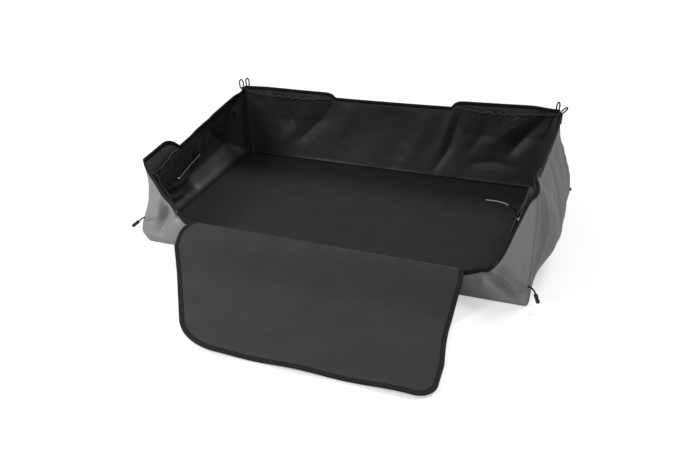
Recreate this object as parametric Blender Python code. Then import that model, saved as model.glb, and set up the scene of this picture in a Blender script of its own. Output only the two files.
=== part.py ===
"""Boot tray: a soft fabric tub for a car's luggage space, with a sill flap laid out over its low front rim.

It stands on the floor. Its origin is under the middle of its floor panel, +X to its right, +Y to its rear.
Every wall is one sewn panel: a grid bent by a formula and given its thickness by Solidify.
"""

import math

import bmesh
import bpy
from mathutils import Vector

# Driving sizes, in metres
TUB_WIDTH = 1.10
TUB_DEPTH = 0.71
BASE_RADIUS = 0.032
RIM_RADIUS = 0.020

# Heights of the plain rim at the four corners, at the middle of the rear and at both ends of the sill
RIM_REAR_LEFT = 0.246
RIM_REAR_RIGHT = 0.272
RIM_REAR_SAG = 0.007
RIM_FRONT_LEFT = 0.205
RIM_FRONT_RIGHT = 0.262
SILL_HEIGHT_LEFT = 0.0855
SILL_HEIGHT_RIGHT = 0.0740

# The slanted front rims as (place along the front, height), from corner to sill and from sill to corner
FRONT_LEFT_RIM = (
    (-0.550, 0.2505),
    (-0.535, 0.2175),
    (-0.5055, 0.1727),
    (-0.4615, 0.1302),
    (-0.420, 0.0945),
    (-0.395, SILL_HEIGHT_LEFT),
)
FRONT_RIGHT_RIM = (
    (0.390, SILL_HEIGHT_RIGHT),
    (0.425, 0.0840),
    (0.4505, 0.1020),
    (0.477, 0.1400),
    (0.5025, 0.2148),
    (0.5305, 0.2855),
    (0.550, 0.3070),
)

# How far each corner of the rim leans in from the floor's corner, to the middle and to the rear
LEAN_FRONT_LEFT = (0.028, 0.014)
LEAN_FRONT_RIGHT = (-0.009, 0.030)
LEAN_REAR_LEFT = (-0.004, 0.0)
LEAN_REAR_RIGHT = (0.004, 0.0)

# Fabric
WALL = 0.0020
FLOOR_BOARD = 0.0030
FLAP = 0.0030
CUFF = 0.0016
TAPE = 0.0010
SEAM_GAP = 0.0003
TAPE_GAP = 0.0008
FLOOR_GAP = 0.0013
CUFF_GAP = 0.0012
PANEL_END = 0.0012
TAPE_END = 0.0045
WALL_FOOT = 0.0010
TAPE_WIDTH = 0.010
SLANT_TAPE = 1.4
HEM_WIDTH = 0.008

# Sill flap: where the front rim is low, and the flap's outline as it lies
SILL_LEFT = FRONT_LEFT_RIM[-1][0]
SILL_RIGHT = FRONT_RIGHT_RIM[0][0]
FLAP_LENGTH = 0.407
FLAP_DROP_RUN = 0.140
FLAP_TUCK = 0.007
FLAP_END_INSET = 0.010
FLAP_LEFT_BULGE = 0.012
FLAP_LEFT_END = 0.208
FLAP_RIGHT_WAIST = 0.013
FLAP_RIGHT_END = 0.006
FLAP_LEFT_ROUND = 0.085
FLAP_RIGHT_ROUND = 0.046
FLAP_WAVE = 0.005

# Cuffs: the two-layer pockets at the rim's corners
REAR_CUFF_LENGTH = 0.335
REAR_CUFF_RISE = 0.013
REAR_CUFF_DEPTH = 0.120
REAR_CUFF_DROP = 0.020
REAR_CUFF_MOUTH = 0.018
FRONT_CUFF_LENGTH = 0.206
FRONT_CUFF_ROUND = 0.092
FRONT_CUFF_RISE = 0.0450
COLLAR_STEPS = (0.5, 0.27, 0.12, 0.0)
COLLAR_FLARE = {"front_left": 0.021, "front_right": 0.0, "rear_left": 0.0, "rear_right": 0.0}
COLLAR_FLARE_REACH = 0.070
FRONT_CUFF_DEPTH = 0.085
FRONT_CUFF_DROP = 0.046
FRONT_CUFF_MOUTH = 0.014
CUFF_STEP = 0.030
CUFF_INSET = 0.030
CUFF_EDGE_DROP = 0.015
CUFF_ROW_GAP = 0.004
CUFF_END_LIFT = 0.0010
GATHER_DEPTH = 0.009
GATHERS = 3

# Billow of the walls: how far each swells out, and between which places along it
RIGHT_BELLY = 0.056
RIGHT_BELLY_RUN = (-0.29, 0.27)
RIGHT_BELLY_LOW = 0.065
RIGHT_BELLY_HIGH = 0.130
RIGHT_BELLY_EDGE = 0.10
RIGHT_BELLY_FADE = 0.72
RIGHT_RIM_BOW = 0.021
RIGHT_RIM_BOW_RUN = (-0.30, 0.11)
RIGHT_RIM_BOW_EDGE = 0.06
LEFT_BELLY = 0.022
LEFT_BELLY_RUN = (-0.24, 0.02)
LEFT_BELLY_EDGE = 0.06
REAR_BELLY = 0.010
BAND_HEIGHT = 0.062
BAND_SLANT = 0.030
BAND_RUN = (0.01, 0.30)
BAND_EDGE = 0.035
BAND_FADE = 0.55
RIM_HOLD = 0.75
RIM_HOLD_REACH = 0.045
FOOT_HOLD_REACH = 0.012
CORNER_HOLD_REACH = 0.055

# Folds in the walls: (start, end, width, depth outward), each place as (along the wall, height)
FOLDS = {
    "rear": (
        ((-0.45, 0.225), (-0.425, 0.12), 0.022, -0.010),
        ((-0.235, 0.20), (-0.35, 0.075), 0.026, 0.013),
        ((-0.30, 0.20), (-0.415, 0.06), 0.030, -0.008),
        ((0.235, 0.23), (0.21, 0.12), 0.020, 0.012),
        ((0.50, 0.24), (0.405, 0.11), 0.026, 0.018),
        ((0.44, 0.24), (0.33, 0.13), 0.034, -0.014),
        ((0.40, 0.07), (0.30, 0.06), 0.022, 0.007),
    ),
    "left": (
        ((0.01, 0.05), (-0.02, 0.15), 0.022, -0.010),
        ((-0.20, 0.085), (-0.05, 0.075), 0.016, -0.007),
    ),
    "right": (
        ((0.26, 0.22), (0.08, 0.10), 0.022, -0.010),
        ((0.10, 0.25), (-0.02, 0.13), 0.020, -0.009),
        ((-0.17, 0.24), (-0.31, 0.11), 0.018, 0.012),
        ((-0.31, 0.11), (-0.34, 0.02), 0.018, 0.010),
    ),
    "front": (
        ((-0.485, 0.105), (-0.475, 0.085), 0.026, -0.016),
        ((-0.475, 0.07), (-0.462, 0.035), 0.014, -0.006),
        ((0.44, 0.10), (0.535, 0.035), 0.014, 0.010),
        ((0.475, 0.052), (0.545, 0.012), 0.010, 0.006),
        ((0.41, 0.062), (0.47, 0.045), 0.018, -0.010),
    ),
}

# Trim
PIPING_RADIUS = 0.0022
LOOP_CORD = 0.0013
LOOP_SIZES = {
    "rear_left": ((0.015, 0.034, -0.008), (0.011, 0.024, 0.008)),
    "rear_right": ((0.010, 0.024, -0.007), (0.012, 0.027, 0.007)),
}
TAB_WIDTH = 0.022
TAB_THICK = 0.0030
TAB_HEIGHT = 0.036
TAB_ABOVE_RIM = 0.005
STRAP_CORD = 0.0015
STRAP_LENGTH = 0.036
STRAP_FALL = 0.022
TOGGLE_LENGTH = 0.027
TOGGLE_RADIUS = 0.0042
STRAPS = {"front_left": 0.076, "front_right": 0.052, "rear_right": 0.062, "rear_left": 0.062}
WALL_LOOP_SPOT = (0.27, 0.185)
WALL_LOOP_SIZE = (0.017, 0.018)

# Gathering cords. The left one's knots are (along the left wall, height, distance from it), the others places
HOOK_CORD = 0.0015
TAIL_CORD = 0.0012
BEAD_RADIUS = 0.0048
BEAD_LENGTH = 0.0070
BEAD_END = 0.6
LEFT_CORD_KNOTS = (
    (-0.216, 0.110, 0.0032),
    (-0.200, 0.112, 0.011),
    (-0.175, 0.111, 0.011),
    (-0.158, 0.110, 0.011),
)
LEFT_TAIL_KNOTS = ((-0.095, 0.123, 0.013), (-0.0345, 0.144, 0.015))
RIGHT_BEAD_START = (0.5010, -0.3209, 0.2225)
RIGHT_BEAD_RUN = (-0.60, -0.05, 0.80)
RIGHT_CORD_KNOTS = ((0.4860, -0.322, 0.2490), (0.4700, -0.318, 0.2560))
RIGHT_TAIL_KNOTS = ((0.4400, -0.309, 0.2590), (0.4135, -0.300, 0.2545))

HALF_X = TUB_WIDTH / 2
HALF_Y = TUB_DEPTH / 2
CORNERS = ("front_left", "front_right", "rear_right", "rear_left")
CORNER_SIGN = {"front_left": (-1, -1), "front_right": (1, -1), "rear_right": (1, 1), "rear_left": (-1, 1)}
LEAN = {
    "front_left": LEAN_FRONT_LEFT,
    "front_right": LEAN_FRONT_RIGHT,
    "rear_right": LEAN_REAR_RIGHT,
    "rear_left": LEAN_REAR_LEFT,
}
RIM = {
    "front_left": RIM_FRONT_LEFT,
    "front_right": RIM_FRONT_RIGHT,
    "rear_right": RIM_REAR_RIGHT,
    "rear_left": RIM_REAR_LEFT,
}
# Each side runs from its first corner to its second, left to right or front to rear
SIDES = {
    "front": ("front_left", "front_right", (0, -1)),
    "rear": ("rear_left", "rear_right", (0, 1)),
    "left": ("front_left", "rear_left", (-1, 0)),
    "right": ("front_right", "rear_right", (1, 0)),
}


def clear_scene():
    for thing in list(bpy.data.objects):
        bpy.data.objects.remove(thing, do_unlink=True)


def material(name, color, roughness, metallic=0.0):
    made = bpy.data.materials.new(name)
    made.use_nodes = True
    shader = made.node_tree.nodes["Principled BSDF"]
    shader.inputs["Base Color"].default_value = (*color, 1.0)
    shader.inputs["Roughness"].default_value = roughness
    shader.inputs["Metallic"].default_value = metallic
    return made


def finish(name, bm, skin, smooth=True):
    mesh = bpy.data.meshes.new(name)
    bm.to_mesh(mesh)
    bm.free()
    mesh.materials.append(skin)
    if smooth:
        mesh.shade_smooth()
    made = bpy.data.objects.new(name, mesh)
    bpy.context.scene.collection.objects.link(made)
    return made


def ease(value, low, high):
    """Rises smoothly from 0 at low to 1 at high."""
    t = min(1.0, max(0.0, (value - low) / (high - low)))
    return t * t * (3 - 2 * t)


def between(value, low, high, edge):
    """1 between low and high, easing to 0 outside them."""
    return ease(value, low - edge, low + edge) * (1 - ease(value, high - edge, high + edge))


def ridge(along, height, start, end, width, depth):
    """A fold along a straight line on a wall: depth at the line, fading over width and at both ends."""
    line = Vector(end) - Vector(start)
    spot = Vector((along, height)) - Vector(start)
    t = spot.dot(line) / line.length_squared
    off = (spot - line * min(1.0, max(0.0, t))).length
    return depth * math.exp(-((off / width) ** 2))


def half_length(side):
    return HALF_X if side in ("front", "rear") else HALF_Y


def corner_at(corner, height):
    """The sharp corner of the tub at a height, before it is rounded."""
    sx, sy = CORNER_SIGN[corner]
    lean_x, lean_y = LEAN[corner]
    share = height / RIM[corner]
    above = ease(height, RIM[corner] - COLLAR_FLARE_REACH / 2, RIM[corner] + COLLAR_FLARE_REACH)
    flare = COLLAR_FLARE[corner] * above
    return Vector((sx * (HALF_X + flare) + lean_x * share, sy * HALF_Y + lean_y * share))


def other_neighbour(side, corner):
    """The corner next to this one on the wall that isn't this side."""
    for name, (first, second, _) in SIDES.items():
        if name != side and corner in (first, second):
            return second if corner == first else first
    raise ValueError(corner)


def rear_rim(x):
    share = (x + HALF_X) / TUB_WIDTH
    line = RIM_REAR_LEFT + (RIM_REAR_RIGHT - RIM_REAR_LEFT) * share
    line -= RIM_REAR_SAG * math.sin(math.pi * share)
    inner = HALF_X - REAR_CUFF_LENGTH
    return line + REAR_CUFF_RISE * ease(abs(x), inner - CUFF_STEP / 2, inner + CUFF_STEP)


def plain_side_rim(side, y):
    """The rim of a side wall as it would run without its collar."""
    front, rear = SIDES[side][0], SIDES[side][1]
    return RIM[front] + (RIM[rear] - RIM[front]) * (y + HALF_Y) / TUB_DEPTH


def side_rim(side, y):
    past = max(0.0, y + HALF_Y - FRONT_CUFF_LENGTH + FRONT_CUFF_ROUND) / FRONT_CUFF_ROUND
    return plain_side_rim(side, y) + FRONT_CUFF_RISE * max(0.0, 1 - past ** 2)


def through(knots, place):
    """A smooth curve through knots of (place, value), read at a place."""
    last = len(knots) - 1
    k = next(i for i in range(last) if place <= knots[i + 1][0] or i == last - 1)
    before, start, end, after = knots[max(k - 1, 0)], knots[k], knots[k + 1], knots[min(k + 2, last)]
    width = end[0] - start[0]
    t = min(1.0, max(0.0, (place - start[0]) / width))
    leaving = (end[1] - before[1]) / (end[0] - before[0]) * width
    arriving = (after[1] - start[1]) / (after[0] - start[0]) * width
    value = start[1] * (1 + 2 * t) * (1 - t) ** 2 + end[1] * t * t * (3 - 2 * t)
    return value + leaving * t * (1 - t) ** 2 - arriving * t * t * (1 - t)


def front_rim(x):
    if x <= SILL_LEFT:
        return through(FRONT_LEFT_RIM, x)
    if x >= SILL_RIGHT:
        return through(FRONT_RIGHT_RIM, x)
    share = (x - SILL_LEFT) / (SILL_RIGHT - SILL_LEFT)
    return SILL_HEIGHT_LEFT + (SILL_HEIGHT_RIGHT - SILL_HEIGHT_LEFT) * share


def rim_height(side, along):
    if side == "rear":
        return rear_rim(along)
    if side == "front":
        return front_rim(along)
    return side_rim(side, along)


def billow(side, along, height):
    """The broad swell of a wall, positive outward."""
    if side == "rear":
        return REAR_BELLY * math.sin(math.pi * min(1.0, height / RIM_REAR_LEFT))
    if side == "left":
        share = min(1.0, height / RIM_FRONT_LEFT)
        band = BAND_SLANT * ease(height, 0.0, BAND_HEIGHT)
        band *= 1 - BAND_FADE * ease(height, BAND_HEIGHT, RIM_FRONT_LEFT)
        swell = LEFT_BELLY * math.sin(math.pi * share) * between(along, *LEFT_BELLY_RUN, LEFT_BELLY_EDGE)
        return band * between(along, *BAND_RUN, BAND_EDGE) + swell
    if side == "right":
        rise = ease(height, 0.0, RIGHT_BELLY_LOW)
        rise *= 1 - RIGHT_BELLY_FADE * ease(height, RIGHT_BELLY_HIGH, RIM_FRONT_RIGHT)
        return RIGHT_BELLY * rise * between(along, *RIGHT_BELLY_RUN, RIGHT_BELLY_EDGE)
    return 0.0


def wall_point(side, along, height):
    """A point of a wall's middle surface, with the corners rounded and the folds pushed out."""
    first, second, (nx, ny) = SIDES[side]
    half = half_length(side)
    start, end = corner_at(first, height), corner_at(second, height)
    spot = start.lerp(end, (along + half) / (2 * half))
    outward = Vector((nx, ny))
    radius = BASE_RADIUS + (RIM_RADIUS - BASE_RADIUS) * min(1.0, height / RIM_REAR_LEFT)
    from_end = half - abs(along)
    if from_end < radius:
        corner = first if along < 0 else second
        here = start if along < 0 else end
        far = end if along < 0 else start
        beyond = corner_at(other_neighbour(side, corner), height)
        t = 0.5 + 0.5 * from_end / radius
        before = here + (beyond - here).normalized() * radius
        after = here + (far - here).normalized() * radius
        spot = before * (1 - t) ** 2 + here * 2 * t * (1 - t) + after * t * t
        sx, sy = CORNER_SIGN[corner]
        outward = Vector((sx, sy)).normalized().lerp(outward, from_end / radius).normalized()
    rim = plain_side_rim(side, along) if side in ("left", "right") else rim_height(side, along)
    free = 1 - RIM_HOLD * ease(height, rim - RIM_HOLD_REACH, rim - 0.004)
    held = ease(height, 0.0, FOOT_HOLD_REACH) * ease(from_end, 0.0, CORNER_HOLD_REACH) * free
    push = billow(side, along, height) + sum(ridge(along, height, *fold) for fold in FOLDS[side])
    push *= held
    if side == "right":
        bowed = ease(height, RIGHT_BELLY_HIGH, rim)
        push -= RIGHT_RIM_BOW * bowed * between(along, *RIGHT_RIM_BOW_RUN, RIGHT_RIM_BOW_EDGE)
    return Vector((spot.x + outward.x * push, spot.y + outward.y * push, height))


def bent_grid(columns, rows, place):
    """A grid with corner (i, j) moved to place(columns[i], rows[j]), and its points and normals."""
    bm = bmesh.new()
    across, up = len(columns) - 1, len(rows) - 1
    bmesh.ops.create_grid(bm, x_segments=across, y_segments=up, size=1.0)
    knots = {}
    for vert in bm.verts:
        knots[round((vert.co.x + 1) / 2 * across), round((vert.co.y + 1) / 2 * up)] = vert
    for (i, j), vert in knots.items():
        vert.co = place(columns[i], rows[j])
    bm.normal_update()
    points = [[knots[i, j].co.copy() for j in range(up + 1)] for i in range(across + 1)]
    normals = [[knots[i, j].normal.copy() for j in range(up + 1)] for i in range(across + 1)]
    return bm, points, normals


def panel(name, columns, rows, place, thickness, skin):
    """One fabric panel as a closed solid around its middle surface."""
    bm, points, normals = bent_grid(columns, rows, place)
    made = finish(name, bm, skin)
    solidify = made.modifiers.new("thickness", "SOLIDIFY")
    solidify.thickness = thickness
    solidify.offset = 0.0
    return points, normals


def steps(low, high, count):
    return [low + (high - low) * k / count for k in range(count + 1)]


def wall_columns(side, spacing, extra=()):
    """Places along a wall: close together in both round corners, even between them, and at the extra ones."""
    half = half_length(side)
    arc = [half - PANEL_END, half - BASE_RADIUS / 3, half - BASE_RADIUS * 2 / 3, half - BASE_RADIUS]
    reach = half - BASE_RADIUS
    inner = steps(-reach, reach, round(2 * reach / spacing))[1:-1]
    inner = [x for x in inner if all(abs(x - other) > spacing * 0.45 for other in extra)]
    return sorted([-x for x in arc] + arc + inner + list(extra))


def tape_drop(side):
    """How far down the wall the tape over its rim reaches, more where the rim slants."""
    return TAPE_WIDTH * (SLANT_TAPE if side == "front" else 1.0)


def wall(side, columns, row_count, skin):
    """A wall whose top row of faces is just what the tape over its rim covers."""
    def place(along, row):
        if row == row_count + 1:
            return wall_point(side, along, rim_height(side, along))
        foot = rim_height(side, along) - tape_drop(side)
        return wall_point(side, along, WALL_FOOT + (foot - WALL_FOOT) * row / row_count)

    return panel(f"{side}_wall", columns, range(row_count + 2), place, WALL, skin)


def binding(name, edges, feet, edge_normals, foot_normals, outwards, half_thickness, skin):
    """A tape folded over a panel's edge: a U-shaped strip from foot to foot, clear of the panel inside it."""
    side = half_thickness + TAPE_GAP + TAPE / 2
    top = TAPE_GAP + TAPE / 2

    def place(i, k):
        aside = side if k > 1 else -side
        if k in (0, 3):
            return feet[i] + foot_normals[i] * aside
        return edges[i] + outwards[i] * top + edge_normals[i] * aside

    panel(name, range(len(edges)), range(4), place, TAPE, skin)


def rim_binding(name, grid, first, last, skin):
    """The tape over a wall's rim between two of its columns, held back a little at both ends."""
    points, normals = grid
    columns = list(range(first, last + 1))
    edges = [points[i][-1].copy() for i in columns]
    feet = [points[i][-2].copy() for i in columns]
    edge_normals = [normals[i][-1].copy() for i in columns]
    foot_normals = [normals[i][-2].copy() for i in columns]
    for end, inner in ((0, 1), (-1, -2)):
        steep = abs((edges[inner] - edges[end]).normalized().z)
        share = TAPE_END * (1 + steep) / (edges[inner] - edges[end]).length
        for row in (edges, feet, edge_normals, foot_normals):
            row[end] = row[end].lerp(row[inner], share)
    outwards = []
    for k, edge in enumerate(edges):
        tangent = (edges[min(k + 1, len(edges) - 1)] - edges[max(k - 1, 0)]).normalized()
        up = edge - feet[k]
        outwards.append((up - tangent * up.dot(tangent)).normalized())
    binding(name, edges, feet, edge_normals, foot_normals, outwards, WALL / 2, skin)


def floor_panel(skin):
    """The stiff floor, a rounded board just inside the walls."""
    inset = WALL / 2 + FLOOR_GAP
    bm = bmesh.new()
    ring = []
    for corner in CORNERS:
        sx, sy = CORNER_SIGN[corner]
        centre = Vector((sx * (HALF_X - BASE_RADIUS), sy * (HALF_Y - BASE_RADIUS)))
        start = math.atan2(sy, sx) - math.pi / 4
        for k in range(5):
            turn = start + math.pi / 2 * k / 4
            reach = BASE_RADIUS - inset - 0.004
            ring.append(bm.verts.new((centre.x + reach * math.cos(turn) + sx * 0.004,
                                      centre.y + reach * math.sin(turn) + sy * 0.004, 0.0)))
    face = bm.faces.new(ring)
    top = bmesh.ops.extrude_face_region(bm, geom=[face])
    lifted = [v for v in top["geom"] if isinstance(v, bmesh.types.BMVert)]
    bmesh.ops.translate(bm, vec=(0, 0, FLOOR_BOARD), verts=lifted)
    bmesh.ops.recalc_face_normals(bm, faces=bm.faces)
    return finish("floor_panel", bm, skin, smooth=False)


def rounded(to_front, radius):
    """How far a round corner draws a side edge in, at a distance from the front edge."""
    short = max(0.0, radius - to_front)
    return radius - math.sqrt(max(0.0, radius ** 2 - short ** 2))


def flap_edges(forward):
    """Where the flap's left and right edges lie, at a distance in front of the rim."""
    past_sill = math.sin(math.pi / 2 * min(1.0, max(0.0, forward) / (FLAP_DROP_RUN / 3)))
    left = SILL_LEFT + FLAP_END_INSET - (FLAP_END_INSET + FLAP_LEFT_BULGE) * past_sill
    left += FLAP_LEFT_END * max(0.0, forward - FLAP_DROP_RUN / 2) / (FLAP_LENGTH - FLAP_DROP_RUN / 2)
    right = SILL_RIGHT - FLAP_END_INSET * (1 - past_sill)
    run = max(0.0, forward) / FLAP_LENGTH
    right += FLAP_RIGHT_END * run - FLAP_RIGHT_WAIST * math.sin(math.pi * min(1.0, run * 1.4))
    to_front = FLAP_LENGTH - forward
    return left + rounded(to_front, FLAP_LEFT_ROUND), right - rounded(to_front, FLAP_RIGHT_ROUND)


def flap_spot(x, forward):
    """The flap's middle surface: level over the rim, then a soft drop, then the floor with a slight wave."""
    lying = FLAP / 2 + TAPE_GAP + TAPE + SEAM_GAP
    sill = front_rim(min(SILL_RIGHT, max(SILL_LEFT, x))) + FLAP / 2 + 2 * SEAM_GAP
    z = sill + (lying - sill) * ease(forward, 0.0, FLAP_DROP_RUN)
    wave = math.sin(math.pi * (x * 4.4 + 0.1)) ** 2 * ease(forward, FLAP_LENGTH - 0.14, FLAP_LENGTH)
    return Vector((x, -HALF_Y - WALL / 2 - forward, z + FLAP_WAVE * wave))


def flap_point(across, forward):
    """A point of the flap: across from 0 at its left edge to 1 at its right one."""
    left, right = flap_edges(forward)
    return flap_spot(left + (right - left) * across, forward)


def sill_flap(skin, tape):
    rows = [-FLAP_TUCK, 0.0] + steps(0.012, FLAP_DROP_RUN, 8) + steps(0.185, FLAP_LENGTH - FLAP_LEFT_ROUND, 2)
    rows += [FLAP_LENGTH - FLAP_LEFT_ROUND * (1 - math.sin(math.pi / 2 * k / 7)) for k in range(1, 8)]
    columns = steps(0.0, 1.0, 16)
    points, normals = panel("sill_flap", columns, rows, flap_point, FLAP, skin)
    last, right = len(rows) - 1, len(columns) - 1
    path = [(0, j) for j in range(1, last)] + [(i, last) for i in range(right + 1)]
    path += [(right, j) for j in range(last - 1, 0, -1)]
    edges = [points[i][j] for i, j in path]
    facing = [normals[i][j] for i, j in path]
    middle = points[right // 2][last // 2]
    feet, foot_normals, outwards = [], [], []
    for k, (i, j) in enumerate(path):
        tangent = (edges[min(k + 1, len(edges) - 1)] - edges[max(k - 1, 0)]).normalized()
        out = tangent.cross(facing[k]).normalized()
        if out.dot(edges[k] - middle) < 0:
            out.negate()
        if rows[j] <= FLAP_LENGTH - FLAP_LEFT_ROUND:
            beside = 1 if i == 0 else right - 1
            inner = points[beside][j]
            share = TAPE_WIDTH / (inner - edges[k]).length
            foot = edges[k].lerp(inner, share)
            foot_normal = facing[k].lerp(normals[beside][j], share).normalized()
        else:
            flat = Vector((out.x, out.y)).normalized() * TAPE_WIDTH
            foot = flap_spot(edges[k].x - flat.x, -edges[k].y + flat.y - HALF_Y - WALL / 2)
            foot_normal = facing[k]
        outwards.append(out)
        feet.append(foot)
        foot_normals.append(foot_normal)
    binding("flap_binding", edges, feet, facing, foot_normals, outwards, FLAP / 2, tape)


def on_column(column, height):
    """The point at a height on a column of a wall's grid."""
    for low, high in zip(column, column[1:]):
        if high.z >= height:
            return low.lerp(high, (height - low.z) / (high.z - low.z))
    return column[-1].copy()


def cuff(name, side, columns, grid, zone, depth, drop, mouth, gathers, skin):
    """The inner layer of a cuff: a patch sewn to the wall at its foot and both ends, open along its hem."""
    points = grid[0]
    low, high = zone
    chosen = [i for i, along in enumerate(columns) if low - 1e-6 <= along <= high + 1e-6]
    nx, ny = SIDES[side][2]
    inward = Vector((-nx, -ny, 0.0))
    seam = WALL / 2 + CUFF / 2 + CUFF_GAP
    rim = rim_height(side, (low + high) / 2)
    deepest = drop + GATHER_DEPTH * gathers + HEM_WIDTH + 0.004
    middle = chosen[len(chosen) // 2]
    levels = [j for j, spot in enumerate(points[middle]) if deepest < rim - spot.z < depth]
    foot = levels[-1]
    levels += [foot + 1, foot + 2, foot + 3]

    def place(i, j):
        along = columns[i]
        run = (along - low) / (high - low)
        open_here = math.sin(math.pi * run) ** 0.75 if 0 < run < 1 else 0.0
        up = (j - levels[0]) / (levels[-1] - levels[0])
        base = points[i][min(j, foot)]
        if j > foot:
            dip = CUFF_EDGE_DROP + (drop - CUFF_EDGE_DROP) * open_here
            dip += GATHER_DEPTH * gathers * math.sin(GATHERS * math.pi * run) ** 2
            top = rim_height(side, along) - dip - (HEM_WIDTH if j < foot + 3 else 0.0)
            if j == foot + 1:
                top = (top + points[i][foot].z) / 2
            base = on_column(points[i], max(top, points[i][foot].z + CUFF_ROW_GAP * (j - foot)))
        lift = CUFF_END_LIFT if j > foot else 0.0
        return base + inward * (seam + lift + mouth * open_here * up ** 1.1)

    panel(name, chosen, levels, place, CUFF, skin)


def tube(name, route, radius, skin, resolution=2):
    """A cord as a curve with a round bevel and filled ends."""
    curve = bpy.data.curves.new(name, "CURVE")
    curve.dimensions = "3D"
    curve.bevel_depth = radius
    curve.bevel_resolution = resolution
    curve.use_fill_caps = True
    spline = curve.splines.new("POLY")
    spline.points.add(len(route) - 1)
    for knot, spot in zip(spline.points, route):
        knot.co = (*spot, 1.0)
    curve.materials.append(skin)
    made = bpy.data.objects.new(name, curve)
    bpy.context.scene.collection.objects.link(made)
    return made


def smooth_route(knots, per_span=6):
    """Points on a smooth curve through the knots."""
    knots = [Vector(knot) for knot in knots]
    padded = [knots[0] * 2 - knots[1]] + knots + [knots[-1] * 2 - knots[-2]]
    route = []
    for k in range(1, len(padded) - 2):
        a, b, c, d = padded[k - 1:k + 3]
        for step in range(per_span):
            t = step / per_span
            route.append(0.5 * (2 * b + (c - a) * t + (2 * a - 5 * b + 4 * c - d) * t * t
                                + (3 * b - 3 * c + d - a) * t ** 3))
    route.append(padded[-2])
    return route


def loop_route(foot, across, up, width, height, count=14):
    """A pinched loop that leaves its foot and comes back to it, its two legs side by side."""
    route = []
    for k in range(count + 1):
        turn = 2 * math.pi * k / count
        rise = (1 - math.cos(turn)) / 2
        aside = width / 2 * math.sin(turn) * rise ** 0.5 + LOOP_CORD * 1.5 * math.cos(turn / 2)
        route.append(foot + across * aside + up * (height * rise))
    return route


def slab(name, centre, across, outward, size, skin):
    """A small sewn tab with rounded edges, standing against a corner."""
    bm = bmesh.new()
    bmesh.ops.create_cube(bm, size=1.0)
    width, thick, height = size
    up = across.cross(outward)
    for vert in bm.verts:
        x, y, z = vert.co
        vert.co = centre + across * (x * width) + outward * (y * thick) + up * (z * height)
    bmesh.ops.bevel(bm, geom=list(bm.edges), offset=thick * 0.3, segments=2, affect="EDGES",
                    clamp_overlap=True)
    bmesh.ops.recalc_face_normals(bm, faces=bm.faces)
    return finish(name, bm, skin)


def corner_spot(corner, height):
    """The middle of a round corner of the walls at a height, and the level ways out of and across it."""
    side = "front" if corner.startswith("front") else "rear"
    along = HALF_X * CORNER_SIGN[corner][0]
    sx, sy = CORNER_SIGN[corner]
    outward = Vector((sx, sy, 0.0)).normalized()
    return wall_point(side, along, height), outward, Vector((outward.y, -outward.x, 0.0))


def corner_tab(corner, tape, cord):
    """The tab sewn over a rear corner's rim, and its two cord loops."""
    rim = RIM[corner] + REAR_CUFF_RISE
    centre_height = rim + TAB_ABOVE_RIM - TAB_HEIGHT / 2
    spot, outward, across = corner_spot(corner, centre_height)
    off = WALL / 2 + TAPE_GAP + TAB_THICK / 2
    spot = spot + outward * off
    slab(f"{corner}_tab", spot, across, outward, (TAB_WIDTH, TAB_THICK, TAB_HEIGHT), tape)
    top = spot + Vector((0, 0, TAB_HEIGHT / 2 + 4 * SEAM_GAP))
    flat = Vector((1.0, 0.0, 0.0)) * CORNER_SIGN[corner][0]
    for label, (width, height, aside) in zip(("tall", "short"), LOOP_SIZES[corner]):
        lean = flat * (0.75 if corner == "rear_right" and label == "short" else 0.05)
        up = (Vector((0, 0, 1)) + lean).normalized()
        route = loop_route(top + across * aside, across, up, width, height)
        tube(f"{corner}_{label}_loop", route, LOOP_CORD, cord)


def strap(corner, cord, plastic):
    """The fixing cord at a bottom corner, with its toggle at the free end."""
    spot, outward, _ = corner_spot(corner, STRAPS[corner])
    level = Vector((CORNER_SIGN[corner][0], 0.25 * CORNER_SIGN[corner][1], 0.0)).normalized()
    start = spot + outward * (WALL / 2 + SEAM_GAP + STRAP_CORD / 2)
    down = Vector((0, 0, -1))
    end = start + level * STRAP_LENGTH + down * STRAP_FALL
    bend = start + level * (STRAP_LENGTH * 0.5) + down * (STRAP_FALL * 0.28)
    route = smooth_route([start, bend, end], 5)
    tube(f"{corner}_strap", route, STRAP_CORD, cord)
    run = (route[-1] - route[-2]).normalized()
    near = end + run * SEAM_GAP
    profile = [(0.0, 0.0026), (0.06, TOGGLE_RADIUS), (0.40, TOGGLE_RADIUS * 0.92), (0.86, TOGGLE_RADIUS),
               (1.0, 0.0026)]
    turned(f"{corner}_toggle", near, near + run * TOGGLE_LENGTH, profile, plastic)


def bead(name, start, run, skin):
    """A crimped steel bead on a cord; returns where it ends."""
    end = start + run * BEAD_LENGTH
    narrow = BEAD_RADIUS * BEAD_END
    profile = [(0.0, narrow), (0.22, BEAD_RADIUS), (0.78, BEAD_RADIUS), (1.0, narrow)]
    turned(name, start, end, profile, skin)
    return end


def beside_left(y, z, off):
    """A place inside the tub at a distance from its left wall."""
    spot = wall_point("left", y, z)
    return Vector((spot.x + WALL / 2 + off, spot.y, z))


def ahead(route, reach):
    """The next two points straight on past a route's end."""
    run = (route[-1] - route[-2]).normalized()
    return [route[-1] + run * SEAM_GAP, route[-1] + run * reach]


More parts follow.
